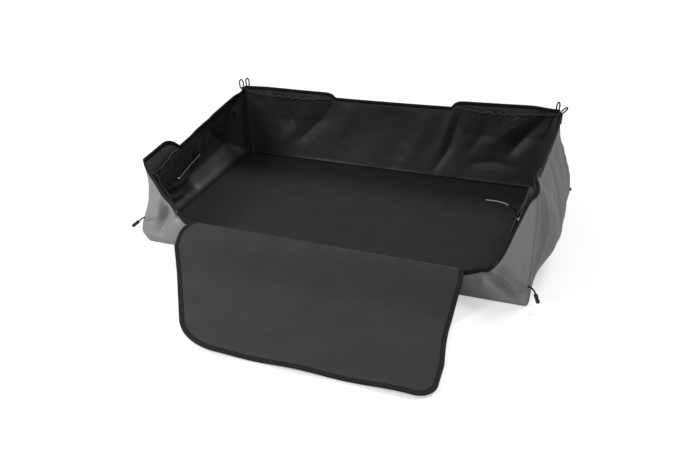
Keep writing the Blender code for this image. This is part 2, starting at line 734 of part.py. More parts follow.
def gather_cords(cord, steel, tail):
    """The gathering cord that leaves each front cuff: black elastic, a steel bead and a stiff grey end."""
    root = smooth_route([beside_left(*knot) for knot in LEFT_CORD_KNOTS], 4)
    tube("left_gather_cord", root, HOOK_CORD, cord)
    near, _ = ahead(root, BEAD_LENGTH)
    run = (root[-1] - root[-2]).normalized()
    far = bead("left_bead", near, run, steel)
    knots = [far + run * SEAM_GAP, far + run * 0.012] + [beside_left(*knot) for knot in LEFT_TAIL_KNOTS]
    tube("left_tail", smooth_route(knots, 5), TAIL_CORD, tail)

    run = Vector(RIGHT_BEAD_RUN).normalized()
    far = bead("right_bead", Vector(RIGHT_BEAD_START), run, steel)
    root = smooth_route([far + run * SEAM_GAP, far + run * 0.008, *RIGHT_CORD_KNOTS], 4)
    tube("right_gather_cord", root, HOOK_CORD, cord)
    tube("right_tail", smooth_route([*ahead(root, 0.010), *RIGHT_TAIL_KNOTS], 5), TAIL_CORD, tail)


def rear_piping(tape):
    """The piping along the floor's rear seam."""
    reach = HALF_X - BASE_RADIUS - 0.008
    height = FLOOR_BOARD + PIPING_RADIUS
    inset = WALL / 2 + PIPING_RADIUS + 4 * SEAM_GAP
    route = []
    for x in steps(-reach, reach, 14):
        route.append(Vector((x, wall_point("rear", x, height).y - inset, height + SEAM_GAP)))
    tube("rear_floor_piping", route, PIPING_RADIUS, tape)


def wall_loop(cord):
    """The small cord loop that hangs on the left wall."""
    foot = wall_point("left", *WALL_LOOP_SPOT) + Vector((WALL / 2 + TAPE_GAP + LOOP_CORD, 0, 0))
    lean = Vector((0.25, 0.0, -1.0)).normalized()
    tube("left_wall_loop", loop_route(foot, Vector((0, 1, 0)), lean, *WALL_LOOP_SIZE), LOOP_CORD, cord)


def trim(tape, cord, plastic, steel, tail):
    """Everything small that is sewn to the tub or hangs from it."""
    rear_piping(tape)
    for corner in ("rear_left", "rear_right"):
        corner_tab(corner, tape, cord)
    wall_loop(cord)
    for corner in CORNERS:
        strap(corner, cord, plastic)
    gather_cords(cord, steel, tail)


def turned(name, start, end, profile, skin, sides=12):
    """A turned piece between two points: profile gives (share of its length, radius)."""
    axis = end - start
    bm = bmesh.new()
    first = None
    rings = []
    for share, radius in profile:
        made = bmesh.ops.create_circle(bm, cap_ends=False, segments=sides, radius=radius)
        bmesh.ops.translate(bm, vec=(0, 0, axis.length * share), verts=made["verts"])
        rings.append(list({edge for vert in made["verts"] for edge in vert.link_edges}))
        first = first or made["verts"]
    for lower, upper in zip(rings, rings[1:]):
        bmesh.ops.bridge_loops(bm, edges=lower + upper)
    bmesh.ops.holes_fill(bm, edges=[edge for edge in bm.edges if edge.is_boundary])
    bmesh.ops.recalc_face_normals(bm, faces=bm.faces)
    turn = Vector((0, 0, 1)).rotation_difference(axis)
    bmesh.ops.rotate(bm, cent=(0, 0, 0), matrix=turn.to_matrix(), verts=bm.verts)
    bmesh.ops.translate(bm, vec=start, verts=bm.verts)
    return finish(name, bm, skin)


def build():
    clear_scene()
    wall_skin = {side: material(f"{side} coated fabric", (0.045, 0.046, 0.048), 0.5) for side in SIDES}
    floor_skin = material("floor cloth", (0.030, 0.030, 0.031), 0.8)
    flap_skin = material("flap felt", (0.048, 0.048, 0.049), 0.9)
    cuff_skin = material("cuff cloth", (0.016, 0.016, 0.017), 0.55)
    tape_skin = material("black tape", (0.010, 0.010, 0.011), 0.6)
    cord_skin = material("black elastic", (0.008, 0.008, 0.009), 0.6)
    plastic_skin = material("black plastic", (0.010, 0.010, 0.011), 0.35)
    steel_skin = material("bright steel", (0.75, 0.75, 0.77), 0.2, 1.0)
    tail_skin = material("grey elastic", (0.33, 0.33, 0.34), 0.45)

    floor_panel(floor_skin)

    cuff_inner, cuff_outer = HALF_X - REAR_CUFF_LENGTH, HALF_X - CUFF_INSET
    rear_cuff_zones = {"rear_left": (-cuff_outer, -cuff_inner), "rear_right": (cuff_inner, cuff_outer)}
    collar_end = -HALF_Y + FRONT_CUFF_LENGTH
    collar_columns = [-HALF_Y + CUFF_INSET]
    collar_columns += [collar_end - share * FRONT_CUFF_ROUND for share in COLLAR_STEPS]
    front_cuff_zone = (collar_columns[0], collar_columns[-2])
    step = CUFF_STEP / 2
    extras = {
        "rear": [-cuff_outer, -cuff_inner, -cuff_inner + step, cuff_inner - step, cuff_inner, cuff_outer],
        "front": [-HALF_X + BASE_RADIUS / 6, HALF_X - BASE_RADIUS / 2, HALF_X - BASE_RADIUS / 6]
        + [knot[0] for knot in (*FRONT_LEFT_RIM[2:], *FRONT_RIGHT_RIM[:5])],
        "left": collar_columns,
        "right": collar_columns,
    }
    spacing = {"rear": 0.031, "front": 0.034, "left": 0.030, "right": 0.030}
    row_count = {"rear": 8, "front": 5, "left": 8, "right": 8}
    columns = {side: wall_columns(side, spacing[side], extras[side]) for side in SIDES}
    grids = {side: wall(side, columns[side], row_count[side], wall_skin[side]) for side in SIDES}

    for side in ("rear", "left", "right"):
        rim_binding(f"{side}_rim_binding", grids[side], 0, len(columns[side]) - 1, tape_skin)
    sill_first = columns["front"].index(SILL_LEFT)
    sill_last = columns["front"].index(SILL_RIGHT)
    rim_binding("front_left_rim_binding", grids["front"], 0, sill_first, tape_skin)
    rim_binding("front_right_rim_binding", grids["front"], sill_last, len(columns["front"]) - 2, tape_skin)

    sill_flap(flap_skin, tape_skin)

    for name, zone in rear_cuff_zones.items():
        cuff(f"{name}_cuff", "rear", columns["rear"], grids["rear"], zone, REAR_CUFF_DEPTH, REAR_CUFF_DROP,
             REAR_CUFF_MOUTH, 0, cuff_skin)
    for side in ("left", "right"):
        cuff(f"front_{side}_cuff", side, columns[side], grids[side], front_cuff_zone, FRONT_CUFF_DEPTH,
             FRONT_CUFF_DROP, FRONT_CUFF_MOUTH, 1, cuff_skin)
    trim(tape_skin, cord_skin, plastic_skin, steel_skin, tail_skin)


build()
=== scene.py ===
"""Looks of the boot tray: fabric panels, tapes, cuffs, cords and toggles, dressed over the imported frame.

The pieces repeat the driving sizes of the part, and bend the same panels with finer folds.
"""

import math

import bmesh
import bpy
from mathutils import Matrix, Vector, noise


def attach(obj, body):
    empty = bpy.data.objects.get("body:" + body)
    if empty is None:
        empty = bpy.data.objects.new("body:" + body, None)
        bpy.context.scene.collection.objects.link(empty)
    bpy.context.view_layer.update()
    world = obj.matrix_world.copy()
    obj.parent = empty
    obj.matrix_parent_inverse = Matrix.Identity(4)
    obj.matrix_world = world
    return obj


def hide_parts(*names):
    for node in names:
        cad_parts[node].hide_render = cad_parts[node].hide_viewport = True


bl_info = {
    "name": "Boot tray looks",
    "version": (1, 0, 0),
    "blender": (4, 5, 0),
    "location": "3D View > Sidebar > Boot tray",
    "description": "Dresses the boot tray's frame with sewn fabric, tapes, cords and a plain studio",
    "category": "Object",
}

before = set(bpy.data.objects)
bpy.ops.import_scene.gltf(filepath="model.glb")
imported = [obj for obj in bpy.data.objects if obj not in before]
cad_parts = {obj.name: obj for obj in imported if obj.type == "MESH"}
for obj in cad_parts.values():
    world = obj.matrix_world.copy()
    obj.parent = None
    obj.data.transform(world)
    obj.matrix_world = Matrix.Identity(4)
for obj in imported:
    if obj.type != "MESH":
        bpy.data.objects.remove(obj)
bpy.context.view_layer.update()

CORNER_SIGN = {"front_left": (-1, -1), "front_right": (1, -1), "rear_right": (1, 1), "rear_left": (-1, 1)}
SIDES = {
    "front": ("front_left", "front_right", (0, -1)),
    "rear": ("rear_left", "rear_right", (0, 1)),
    "left": ("front_left", "rear_left", (-1, 0)),
    "right": ("front_right", "rear_right", (1, 0)),
}

# How far each corner of the rim leans in from the floor's corner
LEAN = {
    "front_left": (0.028, 0.014),
    "front_right": (-0.009, 0.030),
    "rear_left": (-0.004, 0.0),
    "rear_right": (0.004, 0.0),
}
BASE_RADIUS = 0.032
RIM_RADIUS = 0.020

# The share of that radius that the two tight corners keep
TIGHT_CORNERS = {"front_left": 0.6, "front_right": 0.4}

# How far the foot is rounded, and how far the front left one spreads, between which heights it grows and ends
FOOT_ROUND = 0.006
FOOT_FLARE = 0.020
FOOT_FLARE_RISE = (0.0, 0.030)
FOOT_FLARE_END = (0.035, 0.140)
SEAM_CORD = 0.0012
WALL_FOOT = 0.0012
WALL_ROWS = 44
SILL_LEFT = -0.395
SILL_RIGHT = 0.390
REAR_RIM_SAG = 0.007
REAR_CUFF_LENGTH = 0.335
REAR_CUFF_RISE = 0.013
REAR_CUFF_BOW = {"rear_left": 0.003, "rear_right": 0.008}
REAR_CUFF_STEP = 0.034
FRONT_CUFF_LENGTH = 0.206
FRONT_CUFF_ROUND = 0.092
FRONT_CUFF_RISE = 0.0450
COLLAR_FLARE = {"front_left": 0.021, "front_right": -0.006, "rear_left": 0.0, "rear_right": 0.0}
COLLAR_FLARE_REACH = 0.070
RIM_HOLD = 0.75
HEM_WIDTH = 0.008
CUFF = 0.0009
CUFF_GAP = 0.0003
CUFF_SUNK = 0.0014
CUFF_SLACK = 0.0018
CUFF_CRINKLE, CUFF_FINE_CRINKLE = 0.0016, 0.0007
TAPE_SIDE_GAP, TAPE_TOP_GAP = 0.0004, 0.0006
LOOP_CORD = 0.0023

# How far each front cuff runs past the corner, along the slanted front rim
FRONT_CUFF_RUN = {"front_left": 0.085, "front_right": 0.060}

# Cuffs: depth below the rim, drop of the hem, how far its mouth stands open, pleats, their depth, and how far
# lower the hem runs on the slanted rim
CUFF_SHAPES = {
    "rear_left": (0.118, 0.020, 0.015, 9.0, 0.0035, 0.0),
    "rear_right": (0.118, 0.022, 0.016, 10.0, 0.0035, 0.0),
    "front_left": (0.100, 0.040, 0.014, 6.5, 0.009, -0.012),
    "front_right": (0.110, 0.030, 0.024, 5.5, 0.005, -0.034),
}

# The share of a cuff's length that is drawn shut, and of its mouth's room that is left at the tub's corner
CUFF_SHUT = {"front_right": (0.48, 0.75)}
CUFF_LOOSE = (0.0, 0.35)
FRONT_CUFF_STEPS = (72, 56)

# Cords and what is on them, at the part's own places. The gathering cords give the elastic, the bead's two
# ends, the stiff end, and what the elastic's far end is
GATHERS = {
    "left": (
        ((-0.5510, -0.2100, 0.1100), (-0.5462, -0.1940, 0.1120), (-0.5486, -0.1693, 0.1110),
         (-0.5491, -0.1526, 0.1100)),
        ((-0.5492, -0.1523, 0.1100), (-0.5493, -0.1453, 0.1095)),
        ((-0.5493, -0.1450, 0.1095), (-0.5496, -0.1333, 0.1088), (-0.5470, -0.0897, 0.1230),
         (-0.5358, -0.0291, 0.1440)),
        "fitting",
    ),
    "right": (
        ((0.4966, -0.3213, 0.2283), (0.4920, -0.3216, 0.2345), (0.4860, -0.3220, 0.2490),
         (0.4700, -0.3180, 0.2560)),
        ((0.5010, -0.3209, 0.2225), (0.4968, -0.3212, 0.2281)),
        ((0.4697, -0.3179, 0.2561), (0.4609, -0.3156, 0.2594), (0.4400, -0.3090, 0.2590),
         (0.4135, -0.3000, 0.2545)),
        "bare",
    ),
}
GATHER_CORD = 0.0015
TAIL_CORD = 0.0012
BEAD_RADIUS = 0.0048
STRAPS = {
    "front_left": ((-0.5341, -0.3442, 0.076), (-0.5510, -0.3490, 0.073), (-0.5670, -0.3530, 0.060)),
    "front_right": ((0.5423, -0.3431, 0.052), (0.5500, -0.3590, 0.062), (0.5600, -0.3640, 0.056),
                    (0.5635, -0.3640, 0.048)),
    "rear_right": ((0.5451, 0.3492, 0.062), (0.5750, 0.3570, 0.052), (0.6030, 0.3630, 0.027)),
    "rear_left": ((-0.5451, 0.3492, 0.062), (-0.5625, 0.3535, 0.056), (-0.5800, 0.3580, 0.040)),
}
STRAP_CORD = 0.0021
TOGGLE = (0.026, 0.0052)
TABS = {"rear_left": (-0.5512, 0.3523, 0.238), "rear_right": (0.5512, 0.3523, 0.259)}
TAB_SIZE = (0.022, 0.0030, 0.036)

# The tall and the short loop of each rear corner: width, height, place aside, place above the tab, and lean
LOOP_SIZES = {
    "rear_left": ((0.013, 0.032, -0.009, -0.006, 0.05), (0.010, 0.031, 0.014, -0.003, 0.05)),
    "rear_right": ((0.011, 0.032, -0.015, -0.004, 0.05), (0.009, 0.027, 0.003, -0.004, 0.75)),
}
WALL_LOOP = (-0.5608, 0.2715, 0.185)
WALL_LOOP_SIZE = (0.017, 0.018)
WALL_LOOP_LEAN = (0.25, 0.0, -1.0)
PIPING = 0.0022
PIPING_HEIGHT = 0.0055
PIPING_REACH = 0.510

# The floor cloth: its gap to the walls, its middle's height, and its pressed seam as two places (x, y)
FLOOR_INSET = 0.0035
FLOOR_LEVEL = 0.0026
FLOOR_CLOTH = 0.0020
FLOOR_SLACK = 0.0009
FLOOR_SEAM = ((-0.539, 0.053), (0.450, 0.005))
FLOOR_SEAM_PRESS, FLOOR_SEAM_WIDTH = 0.0010, 0.006

# The flap: its flat size, its tuck behind the rim, its seam's distance from the rim, and how its edges run
FLAP_DROP_RUN = 0.140
FLAP_TUCK = 0.006
FLAP_TUCK_ROWS = (1.0, 0.7, 0.45)
FLAP_TUCK_DEPTH = 0.0045
FLAP_SEAM = 0.180
FLAP_SEAM_PRESS, FLAP_SEAM_WIDTH = 0.0011, 0.004
FLAP_OFF_GROUND = 0.0021
FLAP_SLACK = 0.0012
FLAP_END_INSET = 0.010
FLAP_LEFT_BULGE = 0.012
FLAP_LEFT_END = 0.208
FLAP_RIGHT_WAIST = 0.013
FLAP_RIGHT_END = 0.006
FLAP_LEFT_ROUND = 0.085
FLAP_RIGHT_ROUND = 0.046
FLAP_WAVE = 0.005

# The slanted front rims as (place along the front, height); the sill's own heights are in the panel
FRONT_LEFT_RIM = ((-0.550, 0.2505), (-0.535, 0.2175), (-0.5055, 0.1727), (-0.4615, 0.1302), (-0.420, 0.0945))
FRONT_RIGHT_RIM = ((0.425, 0.0840), (0.4505, 0.1020), (0.477, 0.1400), (0.5025, 0.2148), (0.5305, 0.2855),
                   (0.550, 0.3070))

# Folds: (path on the wall, width, depth outward, sharpness from 0 to 1)
REAR_FOLDS = [
    ([(-0.45, 0.230), (-0.441, 0.17), (-0.425, 0.11)], 0.015, -0.010, 0.5),
    ([(-0.395, 0.245), (-0.385, 0.18), (-0.355, 0.12)], 0.012, 0.006, 0.5),
    ([(-0.225, 0.215), (-0.255, 0.165), (-0.343, 0.076)], 0.022, 0.015, 0.4),
    ([(-0.30, 0.21), (-0.36, 0.12), (-0.415, 0.055)], 0.024, -0.010, 0.3),
    ([(-0.150, 0.235), (-0.165, 0.17), (-0.20, 0.10)], 0.026, -0.007, 0.3),
    ([(-0.02, 0.235), (0.03, 0.12), (0.02, 0.04)], 0.040, 0.007, 0.2),
    ([(0.12, 0.22), (0.10, 0.13), (0.06, 0.05)], 0.030, -0.006, 0.2),
    ([(0.239, 0.250), (0.220, 0.18), (0.205, 0.11), (0.159, 0.025)], 0.015, 0.014, 0.6),
    ([(0.205, 0.245), (0.190, 0.17), (0.170, 0.10)], 0.014, -0.009, 0.5),
    ([(0.506, 0.254), (0.460, 0.19), (0.405, 0.113)], 0.022, 0.019, 0.4),
    ([(0.44, 0.24), (0.38, 0.18), (0.33, 0.13)], 0.030, -0.015, 0.2),
    ([(0.33, 0.25), (0.31, 0.17), (0.27, 0.10)], 0.018, 0.007, 0.4),
    ([(0.42, 0.070), (0.36, 0.076), (0.28, 0.060)], 0.018, 0.008, 0.4),
]
LEFT_FOLDS = [
    ([(0.03, 0.085), (0.00, 0.13), (-0.02, 0.18)], 0.018, -0.010, 0.4),
    ([(-0.213, 0.094), (-0.12, 0.074), (-0.05, 0.082)], 0.012, -0.009, 0.6),
    ([(-0.196, 0.066), (-0.17, 0.045), (-0.10, 0.034)], 0.013, -0.007, 0.5),
    ([(0.110, 0.172), (0.129, 0.161), (0.194, 0.114), (0.257, 0.071), (0.334, 0.017)], 0.012, 0.008, 0.6),
    ([(0.30, 0.22), (0.27, 0.15), (0.25, 0.10)], 0.016, 0.008, 0.5),
    ([(0.22, 0.22), (0.18, 0.17)], 0.018, -0.006, 0.4),
    ([(-0.020, 0.015), (-0.012, 0.065)], 0.010, 0.006, 0.6),
]
RIGHT_FOLDS = [
    ([(0.28, 0.24), (0.18, 0.17), (0.08, 0.10)], 0.014, -0.011, 0.6),
    ([(0.14, 0.26), (0.06, 0.20), (-0.02, 0.13)], 0.013, -0.010, 0.6),
    ([(0.02, 0.27), (-0.04, 0.20), (-0.14, 0.12)], 0.015, -0.009, 0.5),
    ([(0.20, 0.235), (0.12, 0.165), (0.04, 0.115)], 0.011, 0.008, 0.7),
    ([(0.09, 0.245), (0.02, 0.175), (-0.08, 0.120)], 0.011, 0.008, 0.7),
    ([(-0.17, 0.25), (-0.25, 0.17), (-0.31, 0.10)], 0.014, 0.011, 0.5),
    ([(-0.31, 0.10), (-0.335, 0.05), (-0.34, 0.01)], 0.014, 0.009, 0.5),
    ([(0.30, 0.10), (0.20, 0.06), (0.12, 0.05)], 0.020, -0.010, 0.3),
    ([(-0.10, 0.20), (-0.16, 0.12), (-0.18, 0.05)], 0.024, -0.008, 0.2),
]
FRONT_FOLDS = [
    ([(-0.486, 0.118), (-0.480, 0.095), (-0.482, 0.045)], 0.018, -0.024, 0.4),
    ([(-0.458, 0.082), (-0.446, 0.088), (-0.430, 0.080)], 0.010, -0.012, 0.5),
    ([(-0.455, 0.112), (-0.440, 0.108)], 0.010, 0.012, 0.4),
    ([(-0.545, 0.062), (-0.510, 0.066)], 0.010, -0.009, 0.6),
    ([(-0.520, 0.030), (-0.470, 0.012)], 0.014, 0.008, 0.4),
    ([(-0.505, 0.125), (-0.500, 0.080)], 0.012, 0.008, 0.5),
    ([(-0.500, 0.150), (-0.520, 0.120)], 0.016, 0.007, 0.3),
    ([(0.425, 0.100), (0.470, 0.085), (0.505, 0.062), (0.540, 0.040)], 0.014, 0.029, 0.6),
    ([(0.420, 0.072), (0.465, 0.060), (0.505, 0.038), (0.535, 0.018)], 0.014, -0.024, 0.4),
    ([(0.450, 0.052), (0.495, 0.030), (0.530, 0.008)], 0.012, 0.012, 0.4),
    ([(0.402, 0.066), (0.440, 0.050)], 0.016, -0.012, 0.1),
    ([(0.520, 0.120), (0.535, 0.075)], 0.010, 0.006, 0.5),
]
WALL_FOLDS = {"rear": REAR_FOLDS, "left": LEFT_FOLDS, "right": RIGHT_FOLDS, "front": FRONT_FOLDS}
SOFTER = {"rear": 0.75}
RIPPLE, FINE_RIPPLE = 0.0028, 0.0009

# Broad swells: how far each pushes the cloth out, and between which places along its wall
REAR_SWELL = 0.010
LEFT_SWELL, LEFT_SWELL_RUN = 0.022, (-0.24, -0.05)
LEFT_BAND, LEFT_BAND_RUN, LEFT_BAND_HEIGHT = 0.036, (-0.045, 0.300), 0.070
LEFT_CREASE, LEFT_CREASE_RUN, LEFT_CREASE_SLOPE = 0.012, (0.09, 0.30), 0.64
RIGHT_BELLY, RIGHT_BELLY_RUN = 0.056, (-0.25, 0.27)

# How far the right rim is drawn in towards the front, and its collar leans out at the corner
RIGHT_DRAWN_IN = 0.0216
RIGHT_COLLAR_OUT = 0.008

# How much brighter or darker some cloths are than their colour, as painted light and shade: the right wall's
# outside is painted darker as shade, and the left wall's slanted foot and collar, the front left collar and
# the rolled hems are painted lighter as light
RIGHT_WALL_PAINTED_SHADE = 0.72
BAND_PAINTED_LIGHT = 2.7
COLLAR_PAINTED_LIGHT = 1.8
HEM_PAINTED_LIGHT = 1.6

# The camera, fitted to the floor and the rim in the photograph
CAMERA_PLACE = (0.5698, -1.8615, 1.0108)
CAMERA_AZIMUTH, CAMERA_ELEVATION = math.radians(18.01), math.radians(29.03)
CAMERA_LENS = 35.75


class TraySizes(bpy.types.PropertyGroup):
    width: bpy.props.FloatProperty(
        name="Width", description="Outside width of the floor", default=1.10, unit="LENGTH")
    depth: bpy.props.FloatProperty(
        name="Depth", description="Outside depth of the floor", default=0.71, unit="LENGTH")
    rim_front_left: bpy.props.FloatProperty(
        name="Front left rim", description="Height of the plain rim at the front left corner", default=0.205,
        unit="LENGTH")
    rim_front_right: bpy.props.FloatProperty(
        name="Front right rim", description="Height of the plain rim at the front right corner",
        default=0.262, unit="LENGTH")
    rim_rear_left: bpy.props.FloatProperty(
        name="Rear left rim", description="Height of the plain rim at the rear left corner", default=0.246,
        unit="LENGTH")
    rim_rear_right: bpy.props.FloatProperty(
        name="Rear right rim", description="Height of the plain rim at the rear right corner", default=0.272,
        unit="LENGTH")
    sill_left: bpy.props.FloatProperty(
        name="Sill, left end", description="Height of the low front rim at its left end", default=0.0855,
        unit="LENGTH")
    sill_right: bpy.props.FloatProperty(
        name="Sill, right end", description="Height of the low front rim at its right end", default=0.0740,
        unit="LENGTH")
    wall: bpy.props.FloatProperty(
        name="Wall", description="Thickness of the coated fabric", default=0.0020, unit="LENGTH")
    flap: bpy.props.FloatProperty(
        name="Flap", description="Thickness of the felt flap", default=0.0030, unit="LENGTH")
    flap_length: bpy.props.FloatProperty(
        name="Flap length", description="Length of the flap in front of the sill", default=0.407,
        unit="LENGTH")
    tape: bpy.props.FloatProperty(
        name="Tape", description="Thickness of the tapes", default=0.0010, unit="LENGTH")
    tape_width: bpy.props.FloatProperty(
        name="Tape width", description="How far a tape reaches down from an edge", default=0.010,
        unit="LENGTH")
    cell: bpy.props.FloatProperty(
        name="Cell", description="Spacing of the points of a fabric panel", default=0.0052, unit="LENGTH")


class TrayColours(bpy.types.PropertyGroup):
    outside: bpy.props.FloatVectorProperty(
        name="Outside", description="Silver-grey coating on the walls' outside",
        default=(0.265, 0.265, 0.262), subtype="COLOR")
    inside: bpy.props.FloatVectorProperty(
        name="Inside", description="Black coating on the walls' inside", default=(0.033, 0.033, 0.034),
        subtype="COLOR")
    floor: bpy.props.FloatVectorProperty(
        name="Floor", description="Floor cloth", default=(0.036, 0.036, 0.037), subtype="COLOR")
    felt: bpy.props.FloatVectorProperty(
        name="Felt", description="Felt of the flap", default=(0.055, 0.055, 0.056), subtype="COLOR")
    tape: bpy.props.FloatVectorProperty(
        name="Tape", description="Woven tape", default=(0.008, 0.008, 0.009), subtype="COLOR")
    cuff: bpy.props.FloatVectorProperty(
        name="Cuff", description="Cloth of the cuffs", default=(0.033, 0.033, 0.034), subtype="COLOR")
    elastic: bpy.props.FloatVectorProperty(
        name="Elastic", description="Black elastic cord", default=(0.004, 0.004, 0.005), subtype="COLOR")
    plastic: bpy.props.FloatVectorProperty(
        name="Plastic", description="Black toggles", default=(0.008, 0.008, 0.009), subtype="COLOR")
    steel: bpy.props.FloatVectorProperty(
        name="Steel", description="Crimped beads", default=(0.78, 0.78, 0.80), subtype="COLOR")
    tail: bpy.props.FloatVectorProperty(
        name="Cord end", description="Stiff light-grey cord ends", default=(0.36, 0.36, 0.37),
        subtype="COLOR")


def sizes():
    return bpy.context.scene.tray_sizes


def colours():
    return bpy.context.scene.tray_colours


def ease(value, low, high):
    """Rises smoothly from 0 at low to 1 at high."""
    t = min(1.0, max(0.0, (value - low) / (high - low)))
    return t * t * (3 - 2 * t)


def between(value, low, high, edge):
    """1 between low and high, easing to 0 outside them."""
    return ease(value, low - edge, low + edge) * (1 - ease(value, high - edge, high + edge))


def steps(low, high, count):
    return [low + (high - low) * k / count for k in range(count + 1)]


# Shape of the walls


def half_length(side):
    return sizes().width / 2 if side in ("front", "rear") else sizes().depth / 2


def rim_at(corner):
    return getattr(sizes(), f"rim_{corner}")


def corner_at(corner, height):
    """The sharp corner of the tub at a height, before it is rounded."""
    sx, sy = CORNER_SIGN[corner]
    lean_x, lean_y = LEAN[corner]
    rim = rim_at(corner)
    share = height / rim
    flare = COLLAR_FLARE[corner] * ease(height, rim - COLLAR_FLARE_REACH / 2, rim + COLLAR_FLARE_REACH)
    if corner == "front_left":
        flare += FOOT_FLARE * ease(height, *FOOT_FLARE_RISE) * (1 - ease(height, *FOOT_FLARE_END))
    x = sx * (sizes().width / 2 + flare) + lean_x * share
    return Vector((x, sy * sizes().depth / 2 + lean_y * share))


def other_neighbour(side, corner):
    """The corner next to this one on the wall that isn't this side."""
    for name, (first, second, _) in SIDES.items():
        if name != side and corner in (first, second):
            return second if corner == first else first
    raise ValueError(corner)


def rear_rim(x):
    width = sizes().width
    share = (x + width / 2) / width
    line = rim_at("rear_left") + (rim_at("rear_right") - rim_at("rear_left")) * share
    line -= REAR_RIM_SAG * math.sin(math.pi * share)
    inner = width / 2 - REAR_CUFF_LENGTH
    past = min(1.0, max(0.0, (abs(x) - inner + 0.010) / REAR_CUFF_STEP))
    bow = REAR_CUFF_BOW["rear_right" if x > 0 else "rear_left"]
    rise = REAR_CUFF_RISE + bow * (1 - ease(abs(x), width / 2 - 0.10, width / 2 - 0.01))
    return line + rise * math.sqrt(1 - (1 - past) ** 2)


def plain_side_rim(side, y):
    """The rim of a side wall as it would run without its collar."""
    front, rear = SIDES[side][0], SIDES[side][1]
    return rim_at(front) + (rim_at(rear) - rim_at(front)) * (y + sizes().depth / 2) / sizes().depth


def side_rim(side, y):
    past = max(0.0, y + sizes().depth / 2 - FRONT_CUFF_LENGTH + FRONT_CUFF_ROUND) / FRONT_CUFF_ROUND
    return plain_side_rim(side, y) + FRONT_CUFF_RISE * max(0.0, 1 - past ** 2)


def through(knots, place):
    """A smooth curve through knots of (place, value), read at a place."""
    last = len(knots) - 1
    k = next(i for i in range(last) if place <= knots[i + 1][0] or i == last - 1)
    before, start, end, after = knots[max(k - 1, 0)], knots[k], knots[k + 1], knots[min(k + 2, last)]
    width = end[0] - start[0]
    t = min(1.0, max(0.0, (place - start[0]) / width))
    leaving = (end[1] - before[1]) / (end[0] - before[0]) * width
    arriving = (after[1] - start[1]) / (after[0] - start[0]) * width
    value = start[1] * (1 + 2 * t) * (1 - t) ** 2 + end[1] * t * t * (3 - 2 * t)
    return value + leaving * t * (1 - t) ** 2 - arriving * t * t * (1 - t)


def front_rim(x):
    low_left, low_right = sizes().sill_left, sizes().sill_right
    if x <= SILL_LEFT:
        return through((*FRONT_LEFT_RIM, (SILL_LEFT, low_left)), x)
    if x >= SILL_RIGHT:
        return through(((SILL_RIGHT, low_right), *FRONT_RIGHT_RIM), x)
    return low_left + (low_right - low_left) * (x - SILL_LEFT) / (SILL_RIGHT - SILL_LEFT)


def rim_height(side, along):
    if side == "rear":
        return rear_rim(along)
    if side == "front":
        return front_rim(along)
    return side_rim(side, along)


def fold(along, height, path, width, depth, sharp):
    """How far one fold pushes a place on the wall: most on its path, less beside it and towards its ends."""
    spot = Vector((along, height))
    best, at, total, run = 1e9, 0.0, 0.0, 0.0
    for a, b in zip(path, path[1:]):
        total += (Vector(b) - Vector(a)).length
    for a, b in zip(path, path[1:]):
        start, line = Vector(a), Vector(b) - Vector(a)
        t = min(1.0, max(0.0, (spot - start).dot(line) / line.length_squared))
        off = (spot - start - line * t).length
        if off < best:
            best, at = off, (run + t * line.length) / total
        run += line.length
    if best > 3 * width:
        return 0.0
    soft = math.exp(-((best / width) ** 2))
    crease = math.exp(-1.8 * best / width)
    taper = 0.35 + 0.65 * math.sin(math.pi * min(1.0, max(0.0, at))) ** 0.6
    return depth * taper * (soft * (1 - sharp) + crease * sharp)


def billow(side, along, height):
    """The broad swell of a wall, which the part's solids also have."""
    if side == "rear":
        return REAR_SWELL * math.sin(math.pi * min(1.0, height / rim_at("rear_left")))
    if side == "left":
        top = rim_at("front_left")
        band = LEFT_BAND * min(1.0, height / LEFT_BAND_HEIGHT) * (1 - 0.55 * ease(height, 0.085, top))
        crease = max(0.03, 0.183 - LEFT_CREASE_SLOPE * (along - 0.078))
        swell = LEFT_SWELL * math.sin(math.pi * min(1.0, height / top))
        return (band * between(along, *LEFT_BAND_RUN, 0.030)
                + LEFT_CREASE * min(1.0, max(0.0, height / crease)) * between(along, *LEFT_CREASE_RUN, 0.025)
                + swell * between(along, *LEFT_SWELL_RUN, 0.05))
    if side == "right":
        rise = ease(height, 0.0, 0.100) * (1 - 0.72 * ease(height, 0.130, rim_at("front_right")))
        return RIGHT_BELLY * rise * between(along, *RIGHT_BELLY_RUN, 0.10)
    return 0.0


def ripple(side, along, height):
    """Small slack in the cloth, the same on every run."""
    shift = {"rear": 0.0, "left": 11.0, "right": 23.0, "front": 37.0}[side]
    broad = noise.noise(Vector((along * 7 + shift, height * 9, 0.3)))
    fine = noise.noise(Vector((along * 24 + height * 13 + shift, height * 26, 4.1)))
    return RIPPLE * broad + FINE_RIPPLE * fine


def outline_at(side, along, height):
    """A level point of the rounded outline, the way out there, and its distance from the wall's end."""
    first, second, (nx, ny) = SIDES[side]
    half = half_length(side)
    start, end = corner_at(first, height), corner_at(second, height)
    spot = start.lerp(end, (along + half) / (2 * half))
    outward = Vector((nx, ny))
    radius = BASE_RADIUS + (RIM_RADIUS - BASE_RADIUS) * min(1.0, height / rim_at("rear_left"))
    radius *= TIGHT_CORNERS.get(first if along < 0 else second, 1.0)
    from_end = half - abs(along)
    if from_end < radius:
        corner = first if along < 0 else second
        here = start if along < 0 else end
        far = end if along < 0 else start
        beyond = corner_at(other_neighbour(side, corner), height)
        t = 0.5 + 0.5 * from_end / radius
        before = here + (beyond - here).normalized() * radius
        after = here + (far - here).normalized() * radius
        spot = before * (1 - t) ** 2 + here * 2 * t * (1 - t) + after * t * t
        sx, sy = CORNER_SIGN[corner]
        outward = Vector((sx, sy)).normalized().lerp(outward, from_end / radius).normalized()
    return spot, outward, from_end


